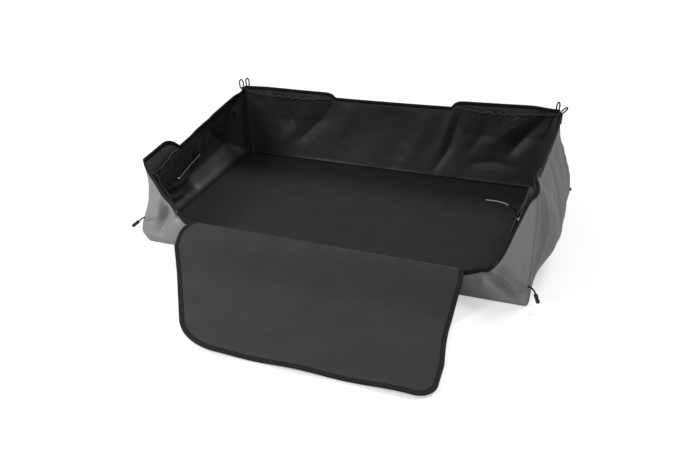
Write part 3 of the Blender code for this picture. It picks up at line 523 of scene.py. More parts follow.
def wall_point(side, along, height, fine=True):
    """A point of a wall's middle surface, with corners and foot rounded and the folds pushed out."""
    spot, outward, from_end = outline_at(side, along, height)
    rim = plain_side_rim(side, along) if side in ("left", "right") else rim_height(side, along)
    rim_hold, corner_hold = RIM_HOLD, 0.055
    if side == "front":
        rim_hold, corner_hold = 0.45 + 0.55 * between(along, SILL_LEFT, SILL_RIGHT, 0.012), 0.030
    free = 1 - rim_hold * ease(height, rim - 0.045, rim - 0.004)
    held = ease(height, 0.0, 0.012) * ease(from_end, 0.0, corner_hold) * free
    push = billow(side, along, height)
    if fine:
        creases = sum(fold(along, height, *crease) for crease in WALL_FOLDS[side])
        push += creases * SOFTER.get(side, 1.0) + ripple(side, along, height)
    push *= held
    if side == "right":
        drawn_in = min(1.0, max(0.0, (0.25 - along) / 0.40)) * ease(along, -0.345, -0.25)
        push -= RIGHT_DRAWN_IN * ease(height, 0.100, rim) * drawn_in
        push += RIGHT_COLLAR_OUT * ease(height, rim, rim + FRONT_CUFF_RISE) * (1 - ease(-along, 0.22, 0.33))
    if height < FOOT_ROUND:
        push -= FOOT_ROUND - math.sqrt(max(0.0, FOOT_ROUND ** 2 - (FOOT_ROUND - height) ** 2))
    return Vector((spot.x + outward.x * push, spot.y + outward.y * push, height))


# Mesh and object tools


def finish(name, bm, skins):
    """Makes an object of the mesh, riding on the frame."""
    mesh = bpy.data.meshes.new(name)
    bm.to_mesh(mesh)
    bm.free()
    for skin in skins:
        mesh.materials.append(skin)
    mesh.shade_smooth()
    made = bpy.data.objects.new(name, mesh)
    bpy.context.scene.collection.objects.link(made)
    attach(made, "root")
    return made


def bent_grid(columns, rows, place, measure):
    """A grid bent by place(column, row), with a UV map in metres from measure(column, row)."""
    bm = bmesh.new()
    across, up = len(columns) - 1, len(rows) - 1
    bmesh.ops.create_grid(bm, x_segments=across, y_segments=up, size=1.0)
    knots, spots = {}, {}
    for vert in bm.verts:
        i, j = round((vert.co.x + 1) / 2 * across), round((vert.co.y + 1) / 2 * up)
        knots[i, j] = vert
        spots[vert] = measure(columns[i], rows[j])
    for (i, j), vert in knots.items():
        vert.co = place(columns[i], rows[j])
    layer = bm.loops.layers.uv.new("cloth")
    for face in bm.faces:
        for loop in face.loops:
            loop[layer].uv = spots[loop.vert]
    bm.normal_update()
    points = [[knots[i, j].co.copy() for j in range(up + 1)] for i in range(across + 1)]
    normals = [[knots[i, j].normal.copy() for j in range(up + 1)] for i in range(across + 1)]
    return bm, points, normals


def thicken(made, thickness, second_skin=False):
    solidify = made.modifiers.new("thickness", "SOLIDIFY")
    solidify.thickness = thickness
    solidify.offset = 0.0
    if second_skin:
        solidify.material_offset = 1


def wall_columns(side):
    """Places along a wall, close together in its round corners."""
    half = half_length(side)
    reach = half - BASE_RADIUS
    arc = steps(reach, half, 9)[1:]
    marks = [SILL_LEFT, SILL_RIGHT] if side == "front" else []
    cell = sizes().cell
    inner = steps(-reach, reach, round(2 * reach / cell))
    inner = [x for x in inner if all(abs(x - mark) > cell * 0.45 for mark in marks)]
    return sorted([-x for x in arc] + arc + inner + marks)


def tape_drop(side):
    return sizes().tape_width * (1.4 if side == "front" else 1.0)


def wall_piece(side, skins):
    """A fabric wall, grey coating outside and black inside; returns its grid for what is sewn to it."""
    columns = wall_columns(side)

    def height(along, row):
        if row == WALL_ROWS + 1:
            return rim_height(side, along)
        foot = rim_height(side, along) - tape_drop(side)
        return WALL_FOOT + (foot - WALL_FOOT) * row / WALL_ROWS

    rows = range(WALL_ROWS + 2)
    bm, points, normals = bent_grid(columns, rows, lambda x, j: wall_point(side, x, height(x, j)),
                                    lambda x, j: (x, height(x, j)))
    outward = Vector((*SIDES[side][2], 0.0))
    if sum((face.normal.dot(outward) for face in bm.faces), 0.0) < 0:
        bmesh.ops.reverse_faces(bm, faces=bm.faces)
    area = sum(face.calc_area() for face in bm.faces)
    made = finish(f"{side}_wall_fabric", bm, skins)
    thicken(made, sizes().wall, second_skin=True)
    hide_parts(f"{side}_wall")
    tallest = max(rim_height(side, x) for x in columns)
    flat = (2 * half_length(side), tallest)
    return columns, points, normals


def tangent(points, k):
    """The way a row of points runs at one of them."""
    return (points[min(k + 1, len(points) - 1)] - points[max(k - 1, 0)]).normalized()


def ways_out(edges, feet):
    """For each point of an edge, the way from its foot out over the edge, square to the edge."""
    outwards = []
    for k, (edge, foot) in enumerate(zip(edges, feet)):
        along, up = tangent(edges, k), edge - foot
        outwards.append((up - along * up.dot(along)).normalized())
    return outwards


def lengths_along(points):
    """The distance of each point from the first, along the row."""
    run = [0.0]
    for a, b in zip(points, points[1:]):
        run.append(run[-1] + (b - a).length)
    return run


def binding(name, edges, feet, edge_normals, foot_normals, outwards, half_thickness, skin, replaced):
    """A tape folded over an edge, from foot to foot, with a rounded top."""
    tape = sizes().tape
    side = half_thickness + TAPE_SIDE_GAP + tape / 2
    top = TAPE_TOP_GAP + tape / 2
    bend = top * 0.75
    section = [(None, -1.0), (0.0, -1.0), (bend, -0.8), (top, 0.0), (bend, 0.8), (0.0, 1.0), (None, 1.0)]
    run = lengths_along(edges)
    width = sizes().tape_width

    def place(i, k):
        out, aside = section[k]
        if out is None:
            return feet[i] + foot_normals[i] * (side * aside)
        return edges[i] + outwards[i] * out + edge_normals[i] * (side * aside)

    def measure(i, k):
        return run[i], 0.0 if section[k][0] is None else math.copysign(width, 3.5 - k)

    bm, _, _ = bent_grid(range(len(edges)), range(len(section)), place, measure)
    made = finish(name, bm, [skin])
    thicken(made, tape)
    if replaced:
        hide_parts(replaced)
    return made


def rim_tape(name, grid, first, last, skin, replaced):
    """The tape over a wall's rim between two of its columns."""
    _, points, normals = grid
    columns = range(first, last + 1)
    edges, feet = ([points[i][row] for i in columns] for row in (-1, -2))
    facing, foot_facing = ([normals[i][row] for i in columns] for row in (-1, -2))
    return binding(name, edges, feet, facing, foot_facing, ways_out(edges, feet), sizes().wall / 2, skin,
                   replaced)


# Cuffs


def cuff_route(corner):
    """The places (side, along the wall) that a cuff runs over, from its far end to the corner and past it."""
    sx, half = CORNER_SIGN[corner][0], sizes().width / 2
    if corner.startswith("rear"):
        ends = (half - REAR_CUFF_LENGTH - 0.004, half - 0.014)
        return [("rear", sx * x) for x in steps(*ends, 96)]
    side = corner.split("_")[1]
    start = -sizes().depth / 2 + FRONT_CUFF_LENGTH - 0.012
    beside, ahead = FRONT_CUFF_STEPS
    route = [(side, y) for y in steps(start, -sizes().depth / 2 + 0.001, beside)]
    return route + [("front", sx * (half - 0.001 - x)) for x in steps(0.0, FRONT_CUFF_RUN[corner], ahead)[1:]]


def cuff_piece(corner, shape, skins, replaced):
    """The inner layer of a cuff: sewn to the wall at its foot and ends, gathered and open along its hem."""
    depth, drop, mouth, pleats, pleat_depth, slant_drop = shape
    shut, corner_room = CUFF_SHUT.get(corner, CUFF_LOOSE)
    route = cuff_route(corner)
    spots = [wall_point(side, along, rim_height(side, along)) for side, along in route]
    run = lengths_along(spots)
    seed = 3.0 + 7.0 * list(CORNER_SIGN).index(corner)
    seam = sizes().wall / 2 + CUFF / 2 + CUFF_GAP

    def spot_at(i, v):
        side, along = route[i]
        s = run[i] / run[-1]
        rim = spots[i].z
        along_mouth = max(0.0, s - shut) / (1 - shut)
        open_here = math.sin(math.pi * along_mouth) ** 0.7 if 0 < along_mouth < 1 else 0.0
        wander = s + 0.035 * noise.noise(Vector((s * 6, seed, 0.0)))
        pleat = 0.5 + 0.5 * math.sin(2 * math.pi * pleats * wander + seed)
        slant = ease(half_length(side) - abs(along), 0.0, 0.025) if side == "front" else 0.0
        dip = tape_drop("rear") + 0.004 + (drop - 0.014) * open_here * (1 - slant) + slant_drop * slant
        dip += 0.006 * (1 - pleat) * open_here
        fade = ease(s, 0.0, 0.12) * (1 - ease(s, 0.90, 1.0))
        reach = dip + 0.010 + (depth - dip - 0.010) * fade
        top, foot = rim - dip, max(rim - reach, 0.008)
        z = foot + (top - foot) * v
        _, outward, _ = outline_at(side, along, z)
        base = wall_point(side, along, z)
        crinkle = noise.noise(Vector((s * 26, v * 5, seed))) * CUFF_CRINKLE
        crinkle += noise.noise(Vector((s * 70, v * 9, seed))) * CUFF_FINE_CRINKLE
        room, sunk = 1.0, CUFF_SUNK
        if corner.startswith("front"):
            from_corner = abs(run[i] - run[FRONT_CUFF_STEPS[0]])
            room = corner_room + (1 - corner_room) * ease(from_corner, 0.0, 0.045)
            sunk *= ease(from_corner, 0.010, 0.035)
        ends = ease(s, 0.0, 0.05) * (1 - ease(s, 0.95, 1.0))
        lift = seam - sunk * (1 - ease(v, 0.0, 0.30) * ends)
        lift += (mouth * v ** 1.3 + pleat_depth * pleat ** 1.6 * v ** 1.4) * open_here * room
        lift += (crinkle + CUFF_SLACK) * fade * v
        return Vector((base.x - outward.x * lift, base.y - outward.y * lift, z))

    columns = range(len(route))
    bm, points, normals = bent_grid(columns, steps(0.0, 1.0, 22), spot_at, lambda i, v: (run[i], v * depth))
    area = sum(face.calc_area() for face in bm.faces)
    # The front left cuff takes the collar cloth, painted lighter as painted light on its flared,
    # upward-facing lining
    cloth = skins["collar" if corner == "front_left" else "cuff"]
    made = finish(f"{corner}_cuff_cloth", bm, [cloth])
    thicken(made, CUFF)
    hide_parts(replaced)
    edges = [points[i][-1] for i in columns]
    outwards = ways_out(edges, [points[i][-3] for i in columns])
    feet = [edge - out * HEM_WIDTH for edge, out in zip(edges, outwards)]
    facing = [normals[i][-1] for i in columns]
    # The hem takes the rolled hem cloth, painted lighter as painted light on its rolled top
    hem = binding(f"{corner}_cuff_hem", edges, feet, facing, facing, outwards, CUFF / 2, skins["hem"], None)
    longest = run[-1] * 1.10
    max(depth, 1.02 * area / longest)
    return made


# Cords


def smooth_route(knots, per_span=10):
    """Points on a smooth curve through the knots."""
    knots = [Vector(knot) for knot in knots]
    padded = [knots[0] * 2 - knots[1]] + knots + [knots[-1] * 2 - knots[-2]]
    route = []
    for k in range(1, len(padded) - 2):
        a, b, c, d = padded[k - 1:k + 3]
        for step in range(per_span):
            t = step / per_span
            route.append(0.5 * (2 * b + (c - a) * t + (2 * a - 5 * b + 4 * c - d) * t * t
                                + (3 * b - 3 * c + d - a) * t ** 3))
    route.append(padded[-2])
    return route


def turned_tube(name, route, radius, skin):
    """A round tube along a route."""
    curve = bpy.data.curves.new(name, "CURVE")
    curve.dimensions = "3D"
    curve.bevel_depth = radius
    curve.bevel_resolution = 4
    curve.use_fill_caps = True
    spline = curve.splines.new("POLY")
    spline.points.add(len(route) - 1)
    for knot, spot in zip(spline.points, route):
        knot.co = (*spot, 1.0)
    curve.materials.append(skin)
    made = bpy.data.objects.new(name, curve)
    bpy.context.scene.collection.objects.link(made)
    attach(made, "root")
    return made


def cord_piece(name, route, radius, skin, replaced, far_end):
    """A round cord along a route, in place of the part that it hides."""
    made = turned_tube(name, route, radius, skin)
    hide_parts(replaced)
    length = sum((b - a).length for a, b in zip(route, route[1:]))
    tuple(route[0])


def loop_route(foot, across, up, width, height, count=40):
    """A pinched loop that leaves its foot and comes back to it, its two legs side by side."""
    route = []
    for k in range(count + 1):
        turn = 2 * math.pi * k / count
        rise = (1 - math.cos(turn)) / 2
        aside = width / 2 * math.sin(turn) * rise ** 0.5 + LOOP_CORD * 1.5 * math.cos(turn / 2)
        route.append(foot + across * aside + up * (height * rise))
    return route


def turned(name, start, end, profile, skin, replaced, sides=28):
    """A turned piece between two points: profile gives (share of its length, radius)."""
    axis = end - start
    bm = bmesh.new()
    rings = []
    for share, radius in profile:
        ring = bmesh.ops.create_circle(bm, cap_ends=False, segments=sides, radius=radius)
        bmesh.ops.translate(bm, vec=(0, 0, axis.length * share), verts=ring["verts"])
        rings.append(list({edge for vert in ring["verts"] for edge in vert.link_edges}))
    for lower, upper in zip(rings, rings[1:]):
        bmesh.ops.bridge_loops(bm, edges=lower + upper)
    bmesh.ops.holes_fill(bm, edges=[edge for edge in bm.edges if edge.is_boundary])
    bmesh.ops.recalc_face_normals(bm, faces=bm.faces)
    turn = Vector((0, 0, 1)).rotation_difference(axis)
    bmesh.ops.rotate(bm, cent=(0, 0, 0), matrix=turn.to_matrix(), verts=bm.verts)
    bmesh.ops.translate(bm, vec=start, verts=bm.verts)
    made = finish(name, bm, [skin])
    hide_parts(replaced)
    return made


def bead_profile(radius):
    """A crimped tube bead: rounded ends, and two pressed rings."""
    shape = [(0.0, 0.60), (0.05, 0.80), (0.14, 0.95), (0.24, 1.0), (0.33, 1.0), (0.37, 0.88), (0.42, 0.88),
             (0.46, 1.0)]
    shape += [(1 - share, size) for share, size in reversed(shape)]
    return [(share, radius * size) for share, size in shape]


def toggle_profile(radius):
    """A moulded toggle: waisted in the middle, with a groove near each end."""
    shape = [(0.0, 0.55), (0.02, 0.80), (0.06, 0.97), (0.12, 1.0), (0.15, 0.90), (0.18, 0.90), (0.21, 1.0),
             (0.34, 0.97), (0.50, 0.92), (0.66, 0.97), (0.79, 1.0), (0.82, 0.90), (0.85, 0.90), (0.88, 1.0),
             (0.94, 0.97), (0.98, 0.80), (1.0, 0.55)]
    return [(share, radius * size) for share, size in shape]


# Shape of the flap


def rounded(radius, to_front):
    """How far a round corner draws a side edge in, at a distance from the front edge."""
    short = max(0.0, radius - to_front)
    return radius - math.sqrt(max(0.0, radius ** 2 - short ** 2))


def flap_edges(forward):
    """Where the flap's left and right edges lie, at a distance in front of the rim."""
    length = sizes().flap_length
    past_sill = math.sin(math.pi / 2 * min(1.0, max(0.0, forward) / (FLAP_DROP_RUN / 3)))
    left = SILL_LEFT + FLAP_END_INSET - (FLAP_END_INSET + FLAP_LEFT_BULGE) * past_sill
    left += FLAP_LEFT_END * max(0.0, forward - FLAP_DROP_RUN / 2) / (length - FLAP_DROP_RUN / 2)
    right = SILL_RIGHT - FLAP_END_INSET * (1 - past_sill)
    run = max(0.0, forward) / length
    right += FLAP_RIGHT_END * run - FLAP_RIGHT_WAIST * math.sin(math.pi * min(1.0, run * 1.4))
    to_front = length - forward
    return left + rounded(FLAP_LEFT_ROUND, to_front), right - rounded(FLAP_RIGHT_ROUND, to_front)


def flap_spot(x, forward):
    """The flap's middle surface: level over the rim, then a soft drop, then the floor with slight waves."""
    length, thick = sizes().flap_length, sizes().flap
    lying = thick / 2 + FLAP_OFF_GROUND
    sill = front_rim(min(SILL_RIGHT, max(SILL_LEFT, x))) + thick / 2 + TAPE_TOP_GAP
    z = sill + (lying - sill) * ease(forward, 0.0, FLAP_DROP_RUN)
    wave = math.sin(math.pi * (x * 4.4 + 0.1)) ** 2 * ease(forward, length - 0.14, length)
    soft = FLAP_SLACK * (1 + noise.noise(Vector((x * 9, forward * 9, 2.0)))) * ease(forward, 0.05, 0.18)
    tucked = FLAP_TUCK_DEPTH * ease(-forward, FLAP_TUCK * FLAP_TUCK_ROWS[-1], FLAP_TUCK)
    y = -sizes().depth / 2 - sizes().wall / 2 - forward
    return Vector((x, y, z + FLAP_WAVE * wave + soft - tucked))


def flap_point(across, forward):
    left, right = flap_edges(forward)
    return flap_spot(left + (right - left) * across, forward)


# Materials


def plug(tree, socket, value):
    """Gives an input a value, or links it where the value is another node's output."""
    if isinstance(value, bpy.types.NodeSocket):
        tree.links.new(value, socket)
    else:
        socket.default_value = value


def node(tree, kind, **inputs):
    """A node with its inputs plugged, each named by its label with _ for a space."""
    made = tree.nodes.new(kind)
    for label, value in inputs.items():
        plug(tree, made.inputs[label.replace("_", " ")], value)
    return made


def maths(tree, operation, *values):
    made = tree.nodes.new("ShaderNodeMath")
    made.operation = operation
    for socket, value in zip(made.inputs, values):
        plug(tree, socket, value)
    return made.outputs[0]


def weighted(tree, first, share, second, other_share):
    """The sum of two values, each times its share."""
    other = maths(tree, "MULTIPLY", second, other_share)
    return maths(tree, "ADD", maths(tree, "MULTIPLY", first, share), other)


def parts(tree, vector):
    """The X, Y and Z of a vector."""
    return node(tree, "ShaderNodeSeparateXYZ", Vector=vector).outputs[:3]


def rising(tree, value, low, high):
    """0 below low, 1 above high, smooth between."""
    made = node(tree, "ShaderNodeMapRange", Value=value, From_Min=low, From_Max=high)
    made.interpolation_type = "SMOOTHSTEP"
    return made.outputs["Result"]


def falling(tree, value, low, high):
    return maths(tree, "SUBTRACT", 1.0, rising(tree, value, low, high))


def blend(tree, factor, first, second):
    """A colour that turns from the first to the second as the factor goes from 0 to 1."""
    made = tree.nodes.new("ShaderNodeMix")
    made.data_type = "RGBA"
    for label, value in (("Factor", factor), ("A", first), ("B", second)):
        plug(tree, made.inputs[label], value)
    return made.outputs["Result"]


def group(name, output, **inputs):
    """An empty node group with a vector input, float inputs with their defaults, and one float output."""
    made = bpy.data.node_groups.new(name, "ShaderNodeTree")
    made.interface.new_socket(name="Vector", in_out="INPUT", socket_type="NodeSocketVector")
    for label, default in inputs.items():
        socket = made.interface.new_socket(name=label, in_out="INPUT", socket_type="NodeSocketFloat")
        socket.default_value = default
    made.interface.new_socket(name=output, in_out="OUTPUT", socket_type="NodeSocketFloat")
    return made, made.nodes.new("NodeGroupInput").outputs, made.nodes.new("NodeGroupOutput").inputs


def weave_group():
    """A plain weave: warp and weft bumps in turn. Threads is threads per metre."""
    made, given, result = group("weave", "Height", Threads=1200.0)
    scaled = made.nodes.new("ShaderNodeVectorMath")
    scaled.operation = "SCALE"
    plug(made, scaled.inputs[0], given["Vector"])
    plug(made, scaled.inputs["Scale"], given["Threads"])
    waves = [maths(made, "SINE", maths(made, "MULTIPLY", part, math.pi))
             for part in parts(made, scaled.outputs[0])[:2]]
    product = maths(made, "MULTIPLY", *waves)
    plug(made, result["Height"], maths(made, "ADD", maths(made, "MULTIPLY", product, 0.5), 0.5))
    return made


def cloud_group():
    """Broad and fine unevenness of a dyed or coated surface, from 0 to 1."""
    made, given, result = group("cloud", "Value", Scale=6.0)
    tex = node(made, "ShaderNodeTexNoise", Vector=given["Vector"], Scale=given["Scale"], Detail=6.0,
               Roughness=0.55)
    plug(made, result["Value"], tex.outputs["Fac"])
    return made


def fibre_group():
    """Short felt fibres: stretched noise in two directions, from 0 to 1."""
    made, given, result = group("fibres", "Value", Scale=900.0)
    values = []
    for turn, stretch in ((0.6, (1.0, 0.22, 1.0)), (-0.9, (0.22, 1.0, 1.0))):
        place = node(made, "ShaderNodeMapping", Vector=given["Vector"], Rotation=(0.0, 0.0, turn),
                     Scale=stretch)
        tex = node(made, "ShaderNodeTexNoise", Vector=place.outputs["Vector"], Scale=given["Scale"],
                   Detail=3.0, Roughness=0.6)
        values.append(tex.outputs["Fac"])
    plug(made, result["Value"], maths(made, "MULTIPLY", maths(made, "ADD", *values), 0.5))
    return made


def stitch_group():
    """A row of stitches at a distance Offset from UV v 0: 1 on the thread, 0 off it."""
    made, given, result = group("stitches", "Mask", Offset=0.002, Pitch=0.0035)
    u, v, _ = parts(made, given["Vector"])
    off = maths(made, "ABSOLUTE", maths(made, "SUBTRACT", maths(made, "ABSOLUTE", v), given["Offset"]))
    phase = maths(made, "FRACT", maths(made, "DIVIDE", u, given["Pitch"]))
    line, dash = maths(made, "LESS_THAN", off, 0.00045), maths(made, "LESS_THAN", phase, 0.72)
    plug(made, result["Mask"], maths(made, "MULTIPLY", line, dash))
    return made


def painted_light_band_group():
    """Mask of painted light on the left wall's inside: a low band under its long crease, where the foot
    slants to the light, and the collar.
    """
    made, given, result = group("painted light band", "Mask")
    _, y, z = parts(made, given["Vector"])
    lift = maths(made, "SUBTRACT", z, maths(made, "MULTIPLY", y, 0.03))
    crease = maths(made, "ADD", z, maths(made, "MULTIPLY", y, LEFT_CREASE_SLOPE))
    mask = maths(made, "MULTIPLY", falling(made, lift, 0.053, 0.066), falling(made, crease, 0.222, 0.240))
    for edge in (rising(made, y, -0.045, -0.010), rising(made, z, 0.010, 0.020)):
        mask = maths(made, "MULTIPLY", mask, edge)
    # The collar takes 0.8 of the band's painted light
    collar = maths(made, "MULTIPLY", rising(made, z, 0.175, 0.200), falling(made, y, -0.185, -0.150))
    plug(made, result["Mask"], maths(made, "MAXIMUM", mask, maths(made, "MULTIPLY", collar, 0.8)))
    return made


GROUPS = {}


def use_group(tree, name, **inputs):
    made = tree.nodes.new("ShaderNodeGroup")
    made.node_tree = GROUPS[name]
    for label, value in inputs.items():
        plug(tree, made.inputs[label], value)
    return made.outputs[0]


def cloth_uv(tree):
    """The panels' UV map, in metres."""
    made = tree.nodes.new("ShaderNodeUVMap")
    made.uv_map = "cloth"
    return made.outputs["UV"]


def object_place(tree):
    return tree.nodes.new("ShaderNodeTexCoord").outputs["Object"]


def material(name, roughness, metallic=0.0, specular=0.5, sheen=0.0):
    made = bpy.data.materials.new(name)
    made.use_nodes = True
    shader = made.node_tree.nodes["Principled BSDF"]
    for label, value in (("Roughness", roughness), ("Metallic", metallic), ("Specular IOR Level", specular),
                         ("Sheen Weight", sheen), ("Sheen Roughness", 0.5)):
        shader.inputs[label].default_value = value
    return made, made.node_tree, shader


def tinted(tree, shader, colour, value, low, high):
    """Base colour from dark to light shades of one colour as value goes from 0 to 1."""
    shades = [(*[min(1.0, c * share) for c in colour], 1.0) for share in (low, high)]
    result = blend(tree, value, *shades)
    plug(tree, shader.inputs["Base Color"], result)
    return result


def bumped(tree, shader, height, strength, distance):
    bump = node(tree, "ShaderNodeBump", Strength=strength, Distance=distance, Height=height)
    plug(tree, shader.inputs["Normal"], bump.outputs["Normal"])


def varied_roughness(tree, shader, value, low, high):
    spread = node(tree, "ShaderNodeMapRange", Value=value, To_Min=low, To_Max=high)
    plug(tree, shader.inputs["Roughness"], spread.outputs["Result"])


def coated_fabric(name, colour, low, high, rough_low, rough_high, specular=0.5, band=None):
    """Woven polyester under a thin coating: faint weave, uneven sheen, crinkle, and, if a band colour is
    given, painted light on the left wall's slanted foot and collar.
    """
    made, tree, shader = material(name, rough_low, specular=specular)
    place = object_place(tree)
    cloud = use_group(tree, "cloud", Vector=place, Scale=7.0)
    crinkle = use_group(tree, "cloud", Vector=place, Scale=55.0)
    weave = use_group(tree, "weave", Vector=cloth_uv(tree), Threads=1100.0)
    shades = tinted(tree, shader, colour, weighted(tree, cloud, 0.75, crinkle, 0.25), low, high)
    # The band colour is painted light: the cloth is made paler where the slanted foot and the collar would
    # catch the light
    if band:
        mask = use_group(tree, "painted light band", Vector=place)
        mask = maths(tree, "MULTIPLY", mask, maths(tree, "ADD", cloud, 0.35))
        plug(tree, shader.inputs["Base Color"], blend(tree, mask, shades, (*band, 1.0)))
        gloss = maths(tree, "MULTIPLY", rising(tree, parts(tree, place)[2], 0.006, 0.022), specular)
        plug(tree, shader.inputs["Specular IOR Level"], gloss)
    varied_roughness(tree, shader, cloud, rough_low, rough_high)
    bumped(tree, shader, maths(tree, "ADD", maths(tree, "MULTIPLY", weave, 0.25), crinkle), 0.25, 0.0010)
    return made


def felt(name, colour, scale, strength):
    """Needled felt or brushed cloth: short fibres, a little pilling, no gloss."""
    made, tree, shader = material(name, 0.92, specular=0.1, sheen=0.02)
    place = object_place(tree)
    fibres = use_group(tree, "fibres", Vector=place, Scale=scale)
    cloud = use_group(tree, "cloud", Vector=place, Scale=11.0)
    tinted(tree, shader, colour, weighted(tree, cloud, 0.45, fibres, 0.55), 0.55, 1.45)
    bumped(tree, shader, fibres, strength, 0.0008)
    return made


def tape_cloth(name, colour):
    """Ribbed woven tape with a row of stitches near its edge."""
    made, tree, shader = material(name, 0.7, specular=0.35)
    uv = cloth_uv(tree)
    wave = maths(tree, "SINE", maths(tree, "MULTIPLY", parts(tree, uv)[0], 2 * math.pi * 700))
    height = maths(tree, "ADD", maths(tree, "MULTIPLY", wave, 0.5), 0.5)
    stitch = use_group(tree, "stitches", Vector=uv, Offset=0.0022)
    lifted = maths(tree, "ADD", maths(tree, "MULTIPLY", height, 0.5), stitch)
    tinted(tree, shader, colour, lifted, 0.75, 1.9)
    bumped(tree, shader, lifted, 0.5, 0.0006)
    return made


def braided(name, colour, roughness):
    """Braided cord: two crossing spirals."""
    made, tree, shader = material(name, roughness, specular=0.15)
    place = object_place(tree)
    values = []
    for turn in (0.8, -0.8):
        spin = node(tree, "ShaderNodeMapping", Vector=place, Rotation=(0.0, turn, turn))
        bands = node(tree, "ShaderNodeTexWave", Vector=spin.outputs["Vector"], Scale=260.0, Distortion=0.6)
        values.append(bands.outputs["Fac"])
    height = maths(tree, "MULTIPLY", *values)
    tinted(tree, shader, colour, height, 0.7, 1.8)
    bumped(tree, shader, height, 0.5, 0.0004)
    return made


def hard(name, colour, roughness, metallic, grain):
    """Moulded plastic or drawn steel with a fine grain."""
    made, tree, shader = material(name, roughness, metallic=metallic)
    speckle = use_group(tree, "cloud", Vector=object_place(tree), Scale=grain)
    tinted(tree, shader, colour, speckle, 0.85, 1.15)
    varied_roughness(tree, shader, speckle, roughness * 0.8, roughness * 1.25)
    bumped(tree, shader, speckle, 0.15, 0.0003)
    return made


# Scales a colour; used here to paint light or shade into copies of a cloth's colour
def shaded(colour, share):
    return [part * share for part in colour]


SKINS = {}


def make_skins():
    for name, build in (("weave", weave_group), ("cloud", cloud_group), ("fibres", fibre_group),
                        ("stitches", stitch_group), ("painted light band", painted_light_band_group)):
        GROUPS[name] = build()
    c = colours()
    grey, black = (0.85, 1.15, 0.38, 0.52), (0.75, 1.30, 0.42, 0.58)
    SKINS["outside"] = coated_fabric("silver grey coating", c.outside, *grey)
    # The right wall's outside: the same grey coating painted darker, as painted shade
    SKINS["right_outside"] = coated_fabric("silver grey coating, right wall in painted shade",
                                           shaded(c.outside, RIGHT_WALL_PAINTED_SHADE), *grey)
    SKINS["inside"] = coated_fabric("black coating", c.inside, *black, specular=0.6)
    # The left wall's inside, with painted light on its slanted foot and collar
    SKINS["left_inside"] = coated_fabric("black coating, painted light on slanted foot", c.inside, 0.75, 1.30, 0.40, 0.55,
                                         specular=0.8, band=shaded(c.inside, BAND_PAINTED_LIGHT))
    SKINS["floor"] = felt("floor cloth", c.floor, 1100.0, 0.35)
    SKINS["felt"] = felt("charcoal felt", c.felt, 800.0, 0.6)
    SKINS["tape"] = tape_cloth("woven tape", c.tape)
    SKINS["cuff"] = coated_fabric("cuff cloth", c.cuff, *black, specular=0.6)
    # Collar cloth: the cuff colour painted lighter, as painted light
    SKINS["collar"] = coated_fabric("collar lining with painted light", shaded(c.cuff, COLLAR_PAINTED_LIGHT), 0.75, 1.25, 0.36, 0.50,
                                    specular=0.8)
    # Rolled hem: the cuff colour painted lighter, as painted light on the rolled top
    SKINS["hem"] = coated_fabric("rolled hem with painted light", shaded(c.cuff, HEM_PAINTED_LIGHT), 0.7, 1.4, 0.45, 0.60, specular=0.3)
    SKINS["elastic"] = braided("black elastic", c.elastic, 0.8)
    SKINS["plastic"] = hard("moulded plastic", c.plastic, 0.38, 0.0, 400.0)
    SKINS["steel"] = hard("bright steel", c.steel, 0.2, 1.0, 300.0)
    SKINS["tail"] = braided("stiff grey cord", c.tail, 0.42)


GRIDS = {}


class TRAY_OT_skins(bpy.types.Operator):
    """Makes the materials"""

    bl_idname = "tray.skins"
    bl_label = "Materials"

    def execute(self, context):
        make_skins()
        return {"FINISHED"}


class TRAY_OT_floor(bpy.types.Operator):
    """Adds the floor cloth over its board, with its pressed cross seam and the piping at the rear"""

    bl_idname = "tray.floor"
    bl_label = "Floor"

    def execute(self, context):
        half_x, half_y = sizes().width / 2, sizes().depth / 2
        reach_x, reach_y = half_x - FLOOR_INSET, half_y - FLOOR_INSET
        (seam_x, seam_y), (seam_end_x, seam_end_y) = FLOOR_SEAM

        def place(u, v):
            x, y = u * reach_x, v * reach_y
            over_x, over_y = abs(x) - (reach_x - BASE_RADIUS), abs(y) - (reach_y - BASE_RADIUS)
            if over_x > 0 and over_y > 0:
                longest = max(over_x, over_y)
                pull = longest / math.hypot(over_x, over_y)
                x -= math.copysign(over_x * (1 - pull), x)
                y -= math.copysign(over_y * (1 - pull), y)
            seam = seam_y + (seam_end_y - seam_y) * (x - seam_x) / (seam_end_x - seam_x)
            press = -FLOOR_SEAM_PRESS * math.exp(-(((y - seam) / FLOOR_SEAM_WIDTH) ** 2))
            loose = FLOOR_SLACK * noise.noise(Vector((x * 5, y * 6, 8.0)))
            edge = min(reach_x - abs(x), reach_y - abs(y))
            return Vector((x, y, FLOOR_LEVEL + (press + loose + 0.0008) * ease(edge, 0.0, 0.04)))

        bm, _, _ = bent_grid(steps(-1.0, 1.0, 130), steps(-1.0, 1.0, 84), place,
                             lambda u, v: (u * half_x, v * half_y))
        made = finish("floor_cloth", bm, [SKINS["floor"]])
        thicken(made, FLOOR_CLOTH)
        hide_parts("floor_panel")
        route = [(x, wall_point("rear", x, 0.0052, fine=False).y - 2 * PIPING, PIPING_HEIGHT)
                 for x in steps(-PIPING_REACH, PIPING_REACH, 90)]
        piping = turned_tube("rear_piping", route, PIPING, SKINS["tape"])
        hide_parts("rear_floor_piping")
        return {"FINISHED"}


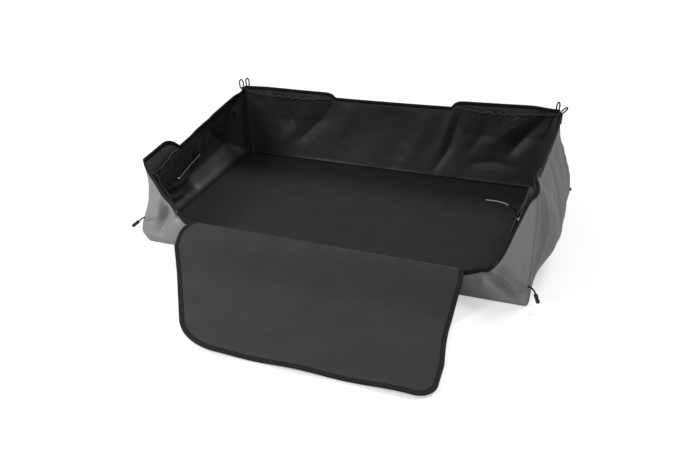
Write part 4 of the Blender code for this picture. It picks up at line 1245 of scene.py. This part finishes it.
class TRAY_OT_walls(bpy.types.Operator):
    """Adds the four fabric walls, with a piped seam inside each corner"""

    bl_idname = "tray.walls"
    bl_label = "Walls"

    def execute(self, context):
        for side in SIDES:
            # The right wall's outside takes the copy with painted shade
            outer = SKINS["right_outside" if side == "right" else "outside"]
            # The left wall's inside takes the copy with painted light
            GRIDS[side] = wall_piece(side, [outer, SKINS["left_inside" if side == "left" else "inside"]])
        for corner, (sx, sy) in CORNER_SIGN.items():
            side, half = corner.split("_")[1], sizes().depth / 2
            inward = Vector((-sx, -sy, 0.0)).normalized() * (sizes().wall / 2 + SEAM_CORD * 0.7)
            heights = steps(0.006, rim_at(corner) - 0.012, 30)
            route = [wall_point(side, sy * half, z) + inward for z in heights]
            turned_tube(f"{corner}_seam", route, SEAM_CORD, SKINS["tape"])
        return {"FINISHED"}


class TRAY_OT_tapes(bpy.types.Operator):
    """Adds the tapes folded over the rim"""

    bl_idname = "tray.tapes"
    bl_label = "Rim tapes"

    def execute(self, context):
        columns = GRIDS["front"][0]
        spans = {side: (side, 0, len(GRIDS[side][0]) - 1) for side in ("rear", "left", "right")}
        spans["front_left"] = ("front", 0, columns.index(SILL_LEFT) + 2)
        spans["front_right"] = ("front", columns.index(SILL_RIGHT) - 2, len(columns) - 1)
        for name, (side, first, last) in spans.items():
            rim_tape(f"{name}_rim_tape", GRIDS[side], first, last, SKINS["tape"], f"{name}_rim_binding")
        return {"FINISHED"}


class TRAY_OT_flap(bpy.types.Operator):
    """Adds the felt flap and the tape round its free edges"""

    bl_idname = "tray.flap"
    bl_label = "Sill flap"

    def execute(self, context):
        length = sizes().flap_length
        rows = [-FLAP_TUCK * share for share in FLAP_TUCK_ROWS]
        rows += steps(0.0, FLAP_DROP_RUN, 22) + steps(FLAP_DROP_RUN, length - FLAP_LEFT_ROUND, 24)[1:]
        rows += [length - FLAP_LEFT_ROUND * (1 - math.sin(math.pi / 2 * k / 26)) for k in range(1, 27)]
        columns = steps(0.0, 1.0, 120)

        def place(across, forward):
            spot = flap_point(across, forward)
            seam = FLAP_SEAM + 0.004 * across
            spot.z -= FLAP_SEAM_PRESS * math.exp(-(((forward - seam) / FLAP_SEAM_WIDTH) ** 2))
            return spot

        bm, points, normals = bent_grid(columns, rows, place, lambda across, forward: (
            flap_point(across, forward).x, forward))
        area = sum(face.calc_area() for face in bm.faces)
        made = finish("sill_flap_felt", bm, [SKINS["felt"]])
        thicken(made, sizes().flap)
        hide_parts("sill_flap")
        last, right = len(rows) - 1, len(columns) - 1
        path = [(0, j) for j in range(1, last)] + [(i, last) for i in range(right + 1)]
        path += [(right, j) for j in range(last - 1, 0, -1)]
        edges = [points[i][j] for i, j in path]
        facing = [normals[i][j] for i, j in path]
        middle = points[right // 2][last // 2]
        feet, outwards = [], []
        for k, edge in enumerate(edges):
            out = tangent(edges, k).cross(facing[k]).normalized()
            if out.dot(edge - middle) < 0:
                out.negate()
            flat = Vector((out.x, out.y)).normalized() * sizes().tape_width
            forward = -edge.y + flat.y - sizes().depth / 2 - sizes().wall / 2
            feet.append(flap_spot(edge.x - flat.x, forward))
            outwards.append(out)
        trim = binding("flap_edge_tape", edges, feet, facing, facing, outwards, sizes().flap / 2,
                       SKINS["tape"], "flap_binding")
        return {"FINISHED"}


class TRAY_OT_cuffs(bpy.types.Operator):
    """Adds the gathered inner layers of the four cuffs, with their rolled hems"""

    bl_idname = "tray.cuffs"
    bl_label = "Cuffs"

    def execute(self, context):
        for corner, shape in CUFF_SHAPES.items():
            cuff_piece(corner, shape, SKINS, f"{corner}_cuff")
        return {"FINISHED"}


class TRAY_OT_tabs(bpy.types.Operator):
    """Adds the sewn tabs at the rear corners, with their elastic loops, and the loop on the left wall"""

    bl_idname = "tray.tabs"
    bl_label = "Tabs and loops"

    def execute(self, context):
        for corner, centre in TABS.items():
            centre = Vector(centre)
            sx, sy = CORNER_SIGN[corner]
            outward = Vector((sx, sy, 0.0)).normalized()
            across = Vector((outward.y, -outward.x, 0.0))
            width, thick, height = TAB_SIZE
            bm = bmesh.new()
            bmesh.ops.create_cube(bm, size=1.0)
            for vert in bm.verts:
                x, y, z = vert.co
                vert.co = centre + across * (x * width) + outward * (y * thick) + Vector((0, 0, z * height))
            bmesh.ops.bevel(bm, geom=list(bm.edges), offset=thick * 0.4, segments=4, profile=0.5,
                            affect="EDGES", clamp_overlap=True, material=-1)
            bmesh.ops.recalc_face_normals(bm, faces=bm.faces)
            layer = bm.loops.layers.uv.new("cloth")
            for face in bm.faces:
                for loop in face.loops:
                    off = loop.vert.co - centre
                    loop[layer].uv = (off.z, off.dot(across))
            tab = finish(f"{corner}_sewn_tab", bm, [SKINS["tape"]])
            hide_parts(f"{corner}_tab")
            top = centre + Vector((0, 0, height / 2 + 0.0012))
            for label, (wide, tall, aside, above, lean) in zip(("tall", "short"), LOOP_SIZES[corner]):
                up = (Vector((0, 0, 1)) + Vector((sx, 0.0, 0.0)) * lean).normalized()
                foot = top + across * aside + Vector((0, 0, above))
                cord_piece(f"{corner}_{label}_elastic", loop_route(foot, across, up, wide, tall), LOOP_CORD,
                           SKINS["elastic"], f"{corner}_{label}_loop", "object")
        lean = Vector(WALL_LOOP_LEAN).normalized()
        route = loop_route(Vector(WALL_LOOP), Vector((0, 1, 0)), lean, *WALL_LOOP_SIZE)
        cord_piece("left_wall_elastic", route, LOOP_CORD, SKINS["elastic"], "left_wall_loop",
                   "object")
        return {"FINISHED"}


class TRAY_OT_straps(bpy.types.Operator):
    """Adds the fixing cord and toggle at each bottom corner"""

    bl_idname = "tray.straps"
    bl_label = "Straps"

    def execute(self, context):
        for corner, knots in STRAPS.items():
            route = smooth_route(knots, 12)
            run = (route[-1] - route[-2]).normalized()
            near = route[-1] + run * 0.0003
            long, radius = TOGGLE
            toggle = turned(f"{corner}_toggle_bar", near, near + run * long, toggle_profile(radius),
                            SKINS["plastic"], f"{corner}_toggle")
            cord_piece(f"{corner}_fixing_cord", route, STRAP_CORD, SKINS["elastic"],
                       f"{corner}_strap", "fitting")
        return {"FINISHED"}


class TRAY_OT_gathers(bpy.types.Operator):
    """Adds the gathering cords of the front cuffs, with their steel beads and stiff ends"""

    bl_idname = "tray.gathers"
    bl_label = "Gathering cords"

    def execute(self, context):
        for side, (elastic, (near, far), tail, far_end) in GATHERS.items():
            bead = turned(f"{side}_steel_bead", Vector(near), Vector(far), bead_profile(BEAD_RADIUS),
                          SKINS["steel"], f"{side}_bead")
            cord_piece(f"{side}_gather_elastic", smooth_route(elastic), GATHER_CORD, SKINS["elastic"],
                       f"{side}_gather_cord", far_end)
            cord_piece(f"{side}_cord_end", smooth_route(tail), TAIL_CORD, SKINS["tail"],
                       f"{side}_tail", "bare")
        return {"FINISHED"}


def lamp(name, kind, place, energy, aim=(0.0, -0.1, 0.1), **settings):
    light = bpy.data.lights.new(name, kind)
    light.energy = energy
    for key, value in settings.items():
        setattr(light, key, value)
    made = bpy.data.objects.new(name, light)
    made.location = place
    made.rotation_mode = "QUATERNION"
    made.rotation_quaternion = (Vector(aim) - Vector(place)).to_track_quat("-Z", "Y")
    bpy.context.scene.collection.objects.link(made)
    return made


class TRAY_OT_stage(bpy.types.Operator):
    """Adds the pale floor, the soft light and the camera at the photograph's angle"""

    bl_idname = "tray.stage"
    bl_label = "Stage"

    def execute(self, context):
        scene = bpy.context.scene
        scene.view_settings.view_transform = "Standard"
        bm = bmesh.new()
        bmesh.ops.create_grid(bm, x_segments=1, y_segments=1, size=14.0)
        mesh = bpy.data.meshes.new("ground")
        bm.to_mesh(mesh)
        bm.free()
        ground = bpy.data.objects.new("ground", mesh)
        ground.location = (0.0, 0.0, -0.0005)
        scene.collection.objects.link(ground)
        paper = bpy.data.materials.new("white paper")
        paper.use_nodes = True
        tree = paper.node_tree
        shader = tree.nodes["Principled BSDF"]
        for label, value in (("Base Color", (0.93, 0.93, 0.93, 1.0)), ("Roughness", 0.9),
                             ("Specular IOR Level", 0.0), ("Emission Color", (1.0, 1.0, 1.0, 1.0))):
            shader.inputs[label].default_value = value
        rays = tree.nodes.new("ShaderNodeLightPath")
        seen = maths(tree, "MULTIPLY", rays.outputs["Is Camera Ray"], 0.45)
        tree.links.new(seen, shader.inputs["Emission Strength"])
        mesh.materials.append(paper)

        world = scene.world or bpy.data.worlds.new("studio")
        scene.world = world
        world.use_nodes = True
        back = world.node_tree.nodes["Background"]
        back.inputs["Color"].default_value = (1.0, 1.0, 1.0, 1.0)
        sky = world.node_tree
        eye = sky.nodes.new("ShaderNodeLightPath")
        strength = maths(sky, "ADD", maths(sky, "MULTIPLY", eye.outputs["Is Camera Ray"], 0.7), 0.34)
        sky.links.new(strength, back.inputs["Strength"])

        lamp("key", "AREA", (-1.05, -1.35, 0.95), 12.0, aim=(-0.30, -0.2, 0.1), shape="DISK", size=0.55)
        lamp("top", "SUN", (0.7, 1.3, 2.2), 1.15, angle=math.radians(24))

        camera = bpy.data.cameras.new("camera")
        camera.sensor_width = 36.0
        camera.lens = CAMERA_LENS
        camera.dof.use_dof = False
        level = math.cos(CAMERA_ELEVATION)
        towards = Vector((math.sin(CAMERA_AZIMUTH) * level, -math.cos(CAMERA_AZIMUTH) * level,
                          math.sin(CAMERA_ELEVATION)))
        seat = bpy.data.objects.new("camera", camera)
        seat.location = CAMERA_PLACE
        seat.rotation_mode = "QUATERNION"
        seat.rotation_quaternion = (-towards).to_track_quat("-Z", "Y")
        scene.collection.objects.link(seat)
        scene.camera = seat
        return {"FINISHED"}


class TRAY_PT_panel(bpy.types.Panel):
    """Sizes, colours and pieces of the boot tray"""

    bl_idname = "TRAY_PT_panel"
    bl_label = "Boot tray"
    bl_space_type = "VIEW_3D"
    bl_region_type = "UI"
    bl_category = "Boot tray"

    def draw(self, context):
        for properties in (context.scene.tray_sizes, context.scene.tray_colours):
            box = self.layout.box()
            for name in properties.__annotations__:
                box.prop(properties, name)
        for step in STEPS:
            self.layout.operator(step.bl_idname)


STEPS = (TRAY_OT_stage, TRAY_OT_skins, TRAY_OT_floor, TRAY_OT_walls, TRAY_OT_tapes, TRAY_OT_flap,
         TRAY_OT_cuffs, TRAY_OT_tabs, TRAY_OT_straps, TRAY_OT_gathers)
CLASSES = (TraySizes, TrayColours, *STEPS, TRAY_PT_panel)


def register():
    for cls in CLASSES:
        bpy.utils.register_class(cls)
    bpy.types.Scene.tray_sizes = bpy.props.PointerProperty(type=TraySizes)
    bpy.types.Scene.tray_colours = bpy.props.PointerProperty(type=TrayColours)


def unregister():
    del bpy.types.Scene.tray_sizes
    del bpy.types.Scene.tray_colours
    for cls in reversed(CLASSES):
        bpy.utils.unregister_class(cls)


def main():
    register()
    for step in STEPS:
        area, name = step.bl_idname.split(".")
        getattr(getattr(bpy.ops, area), name)()


if __name__ == "__main__":
    main()
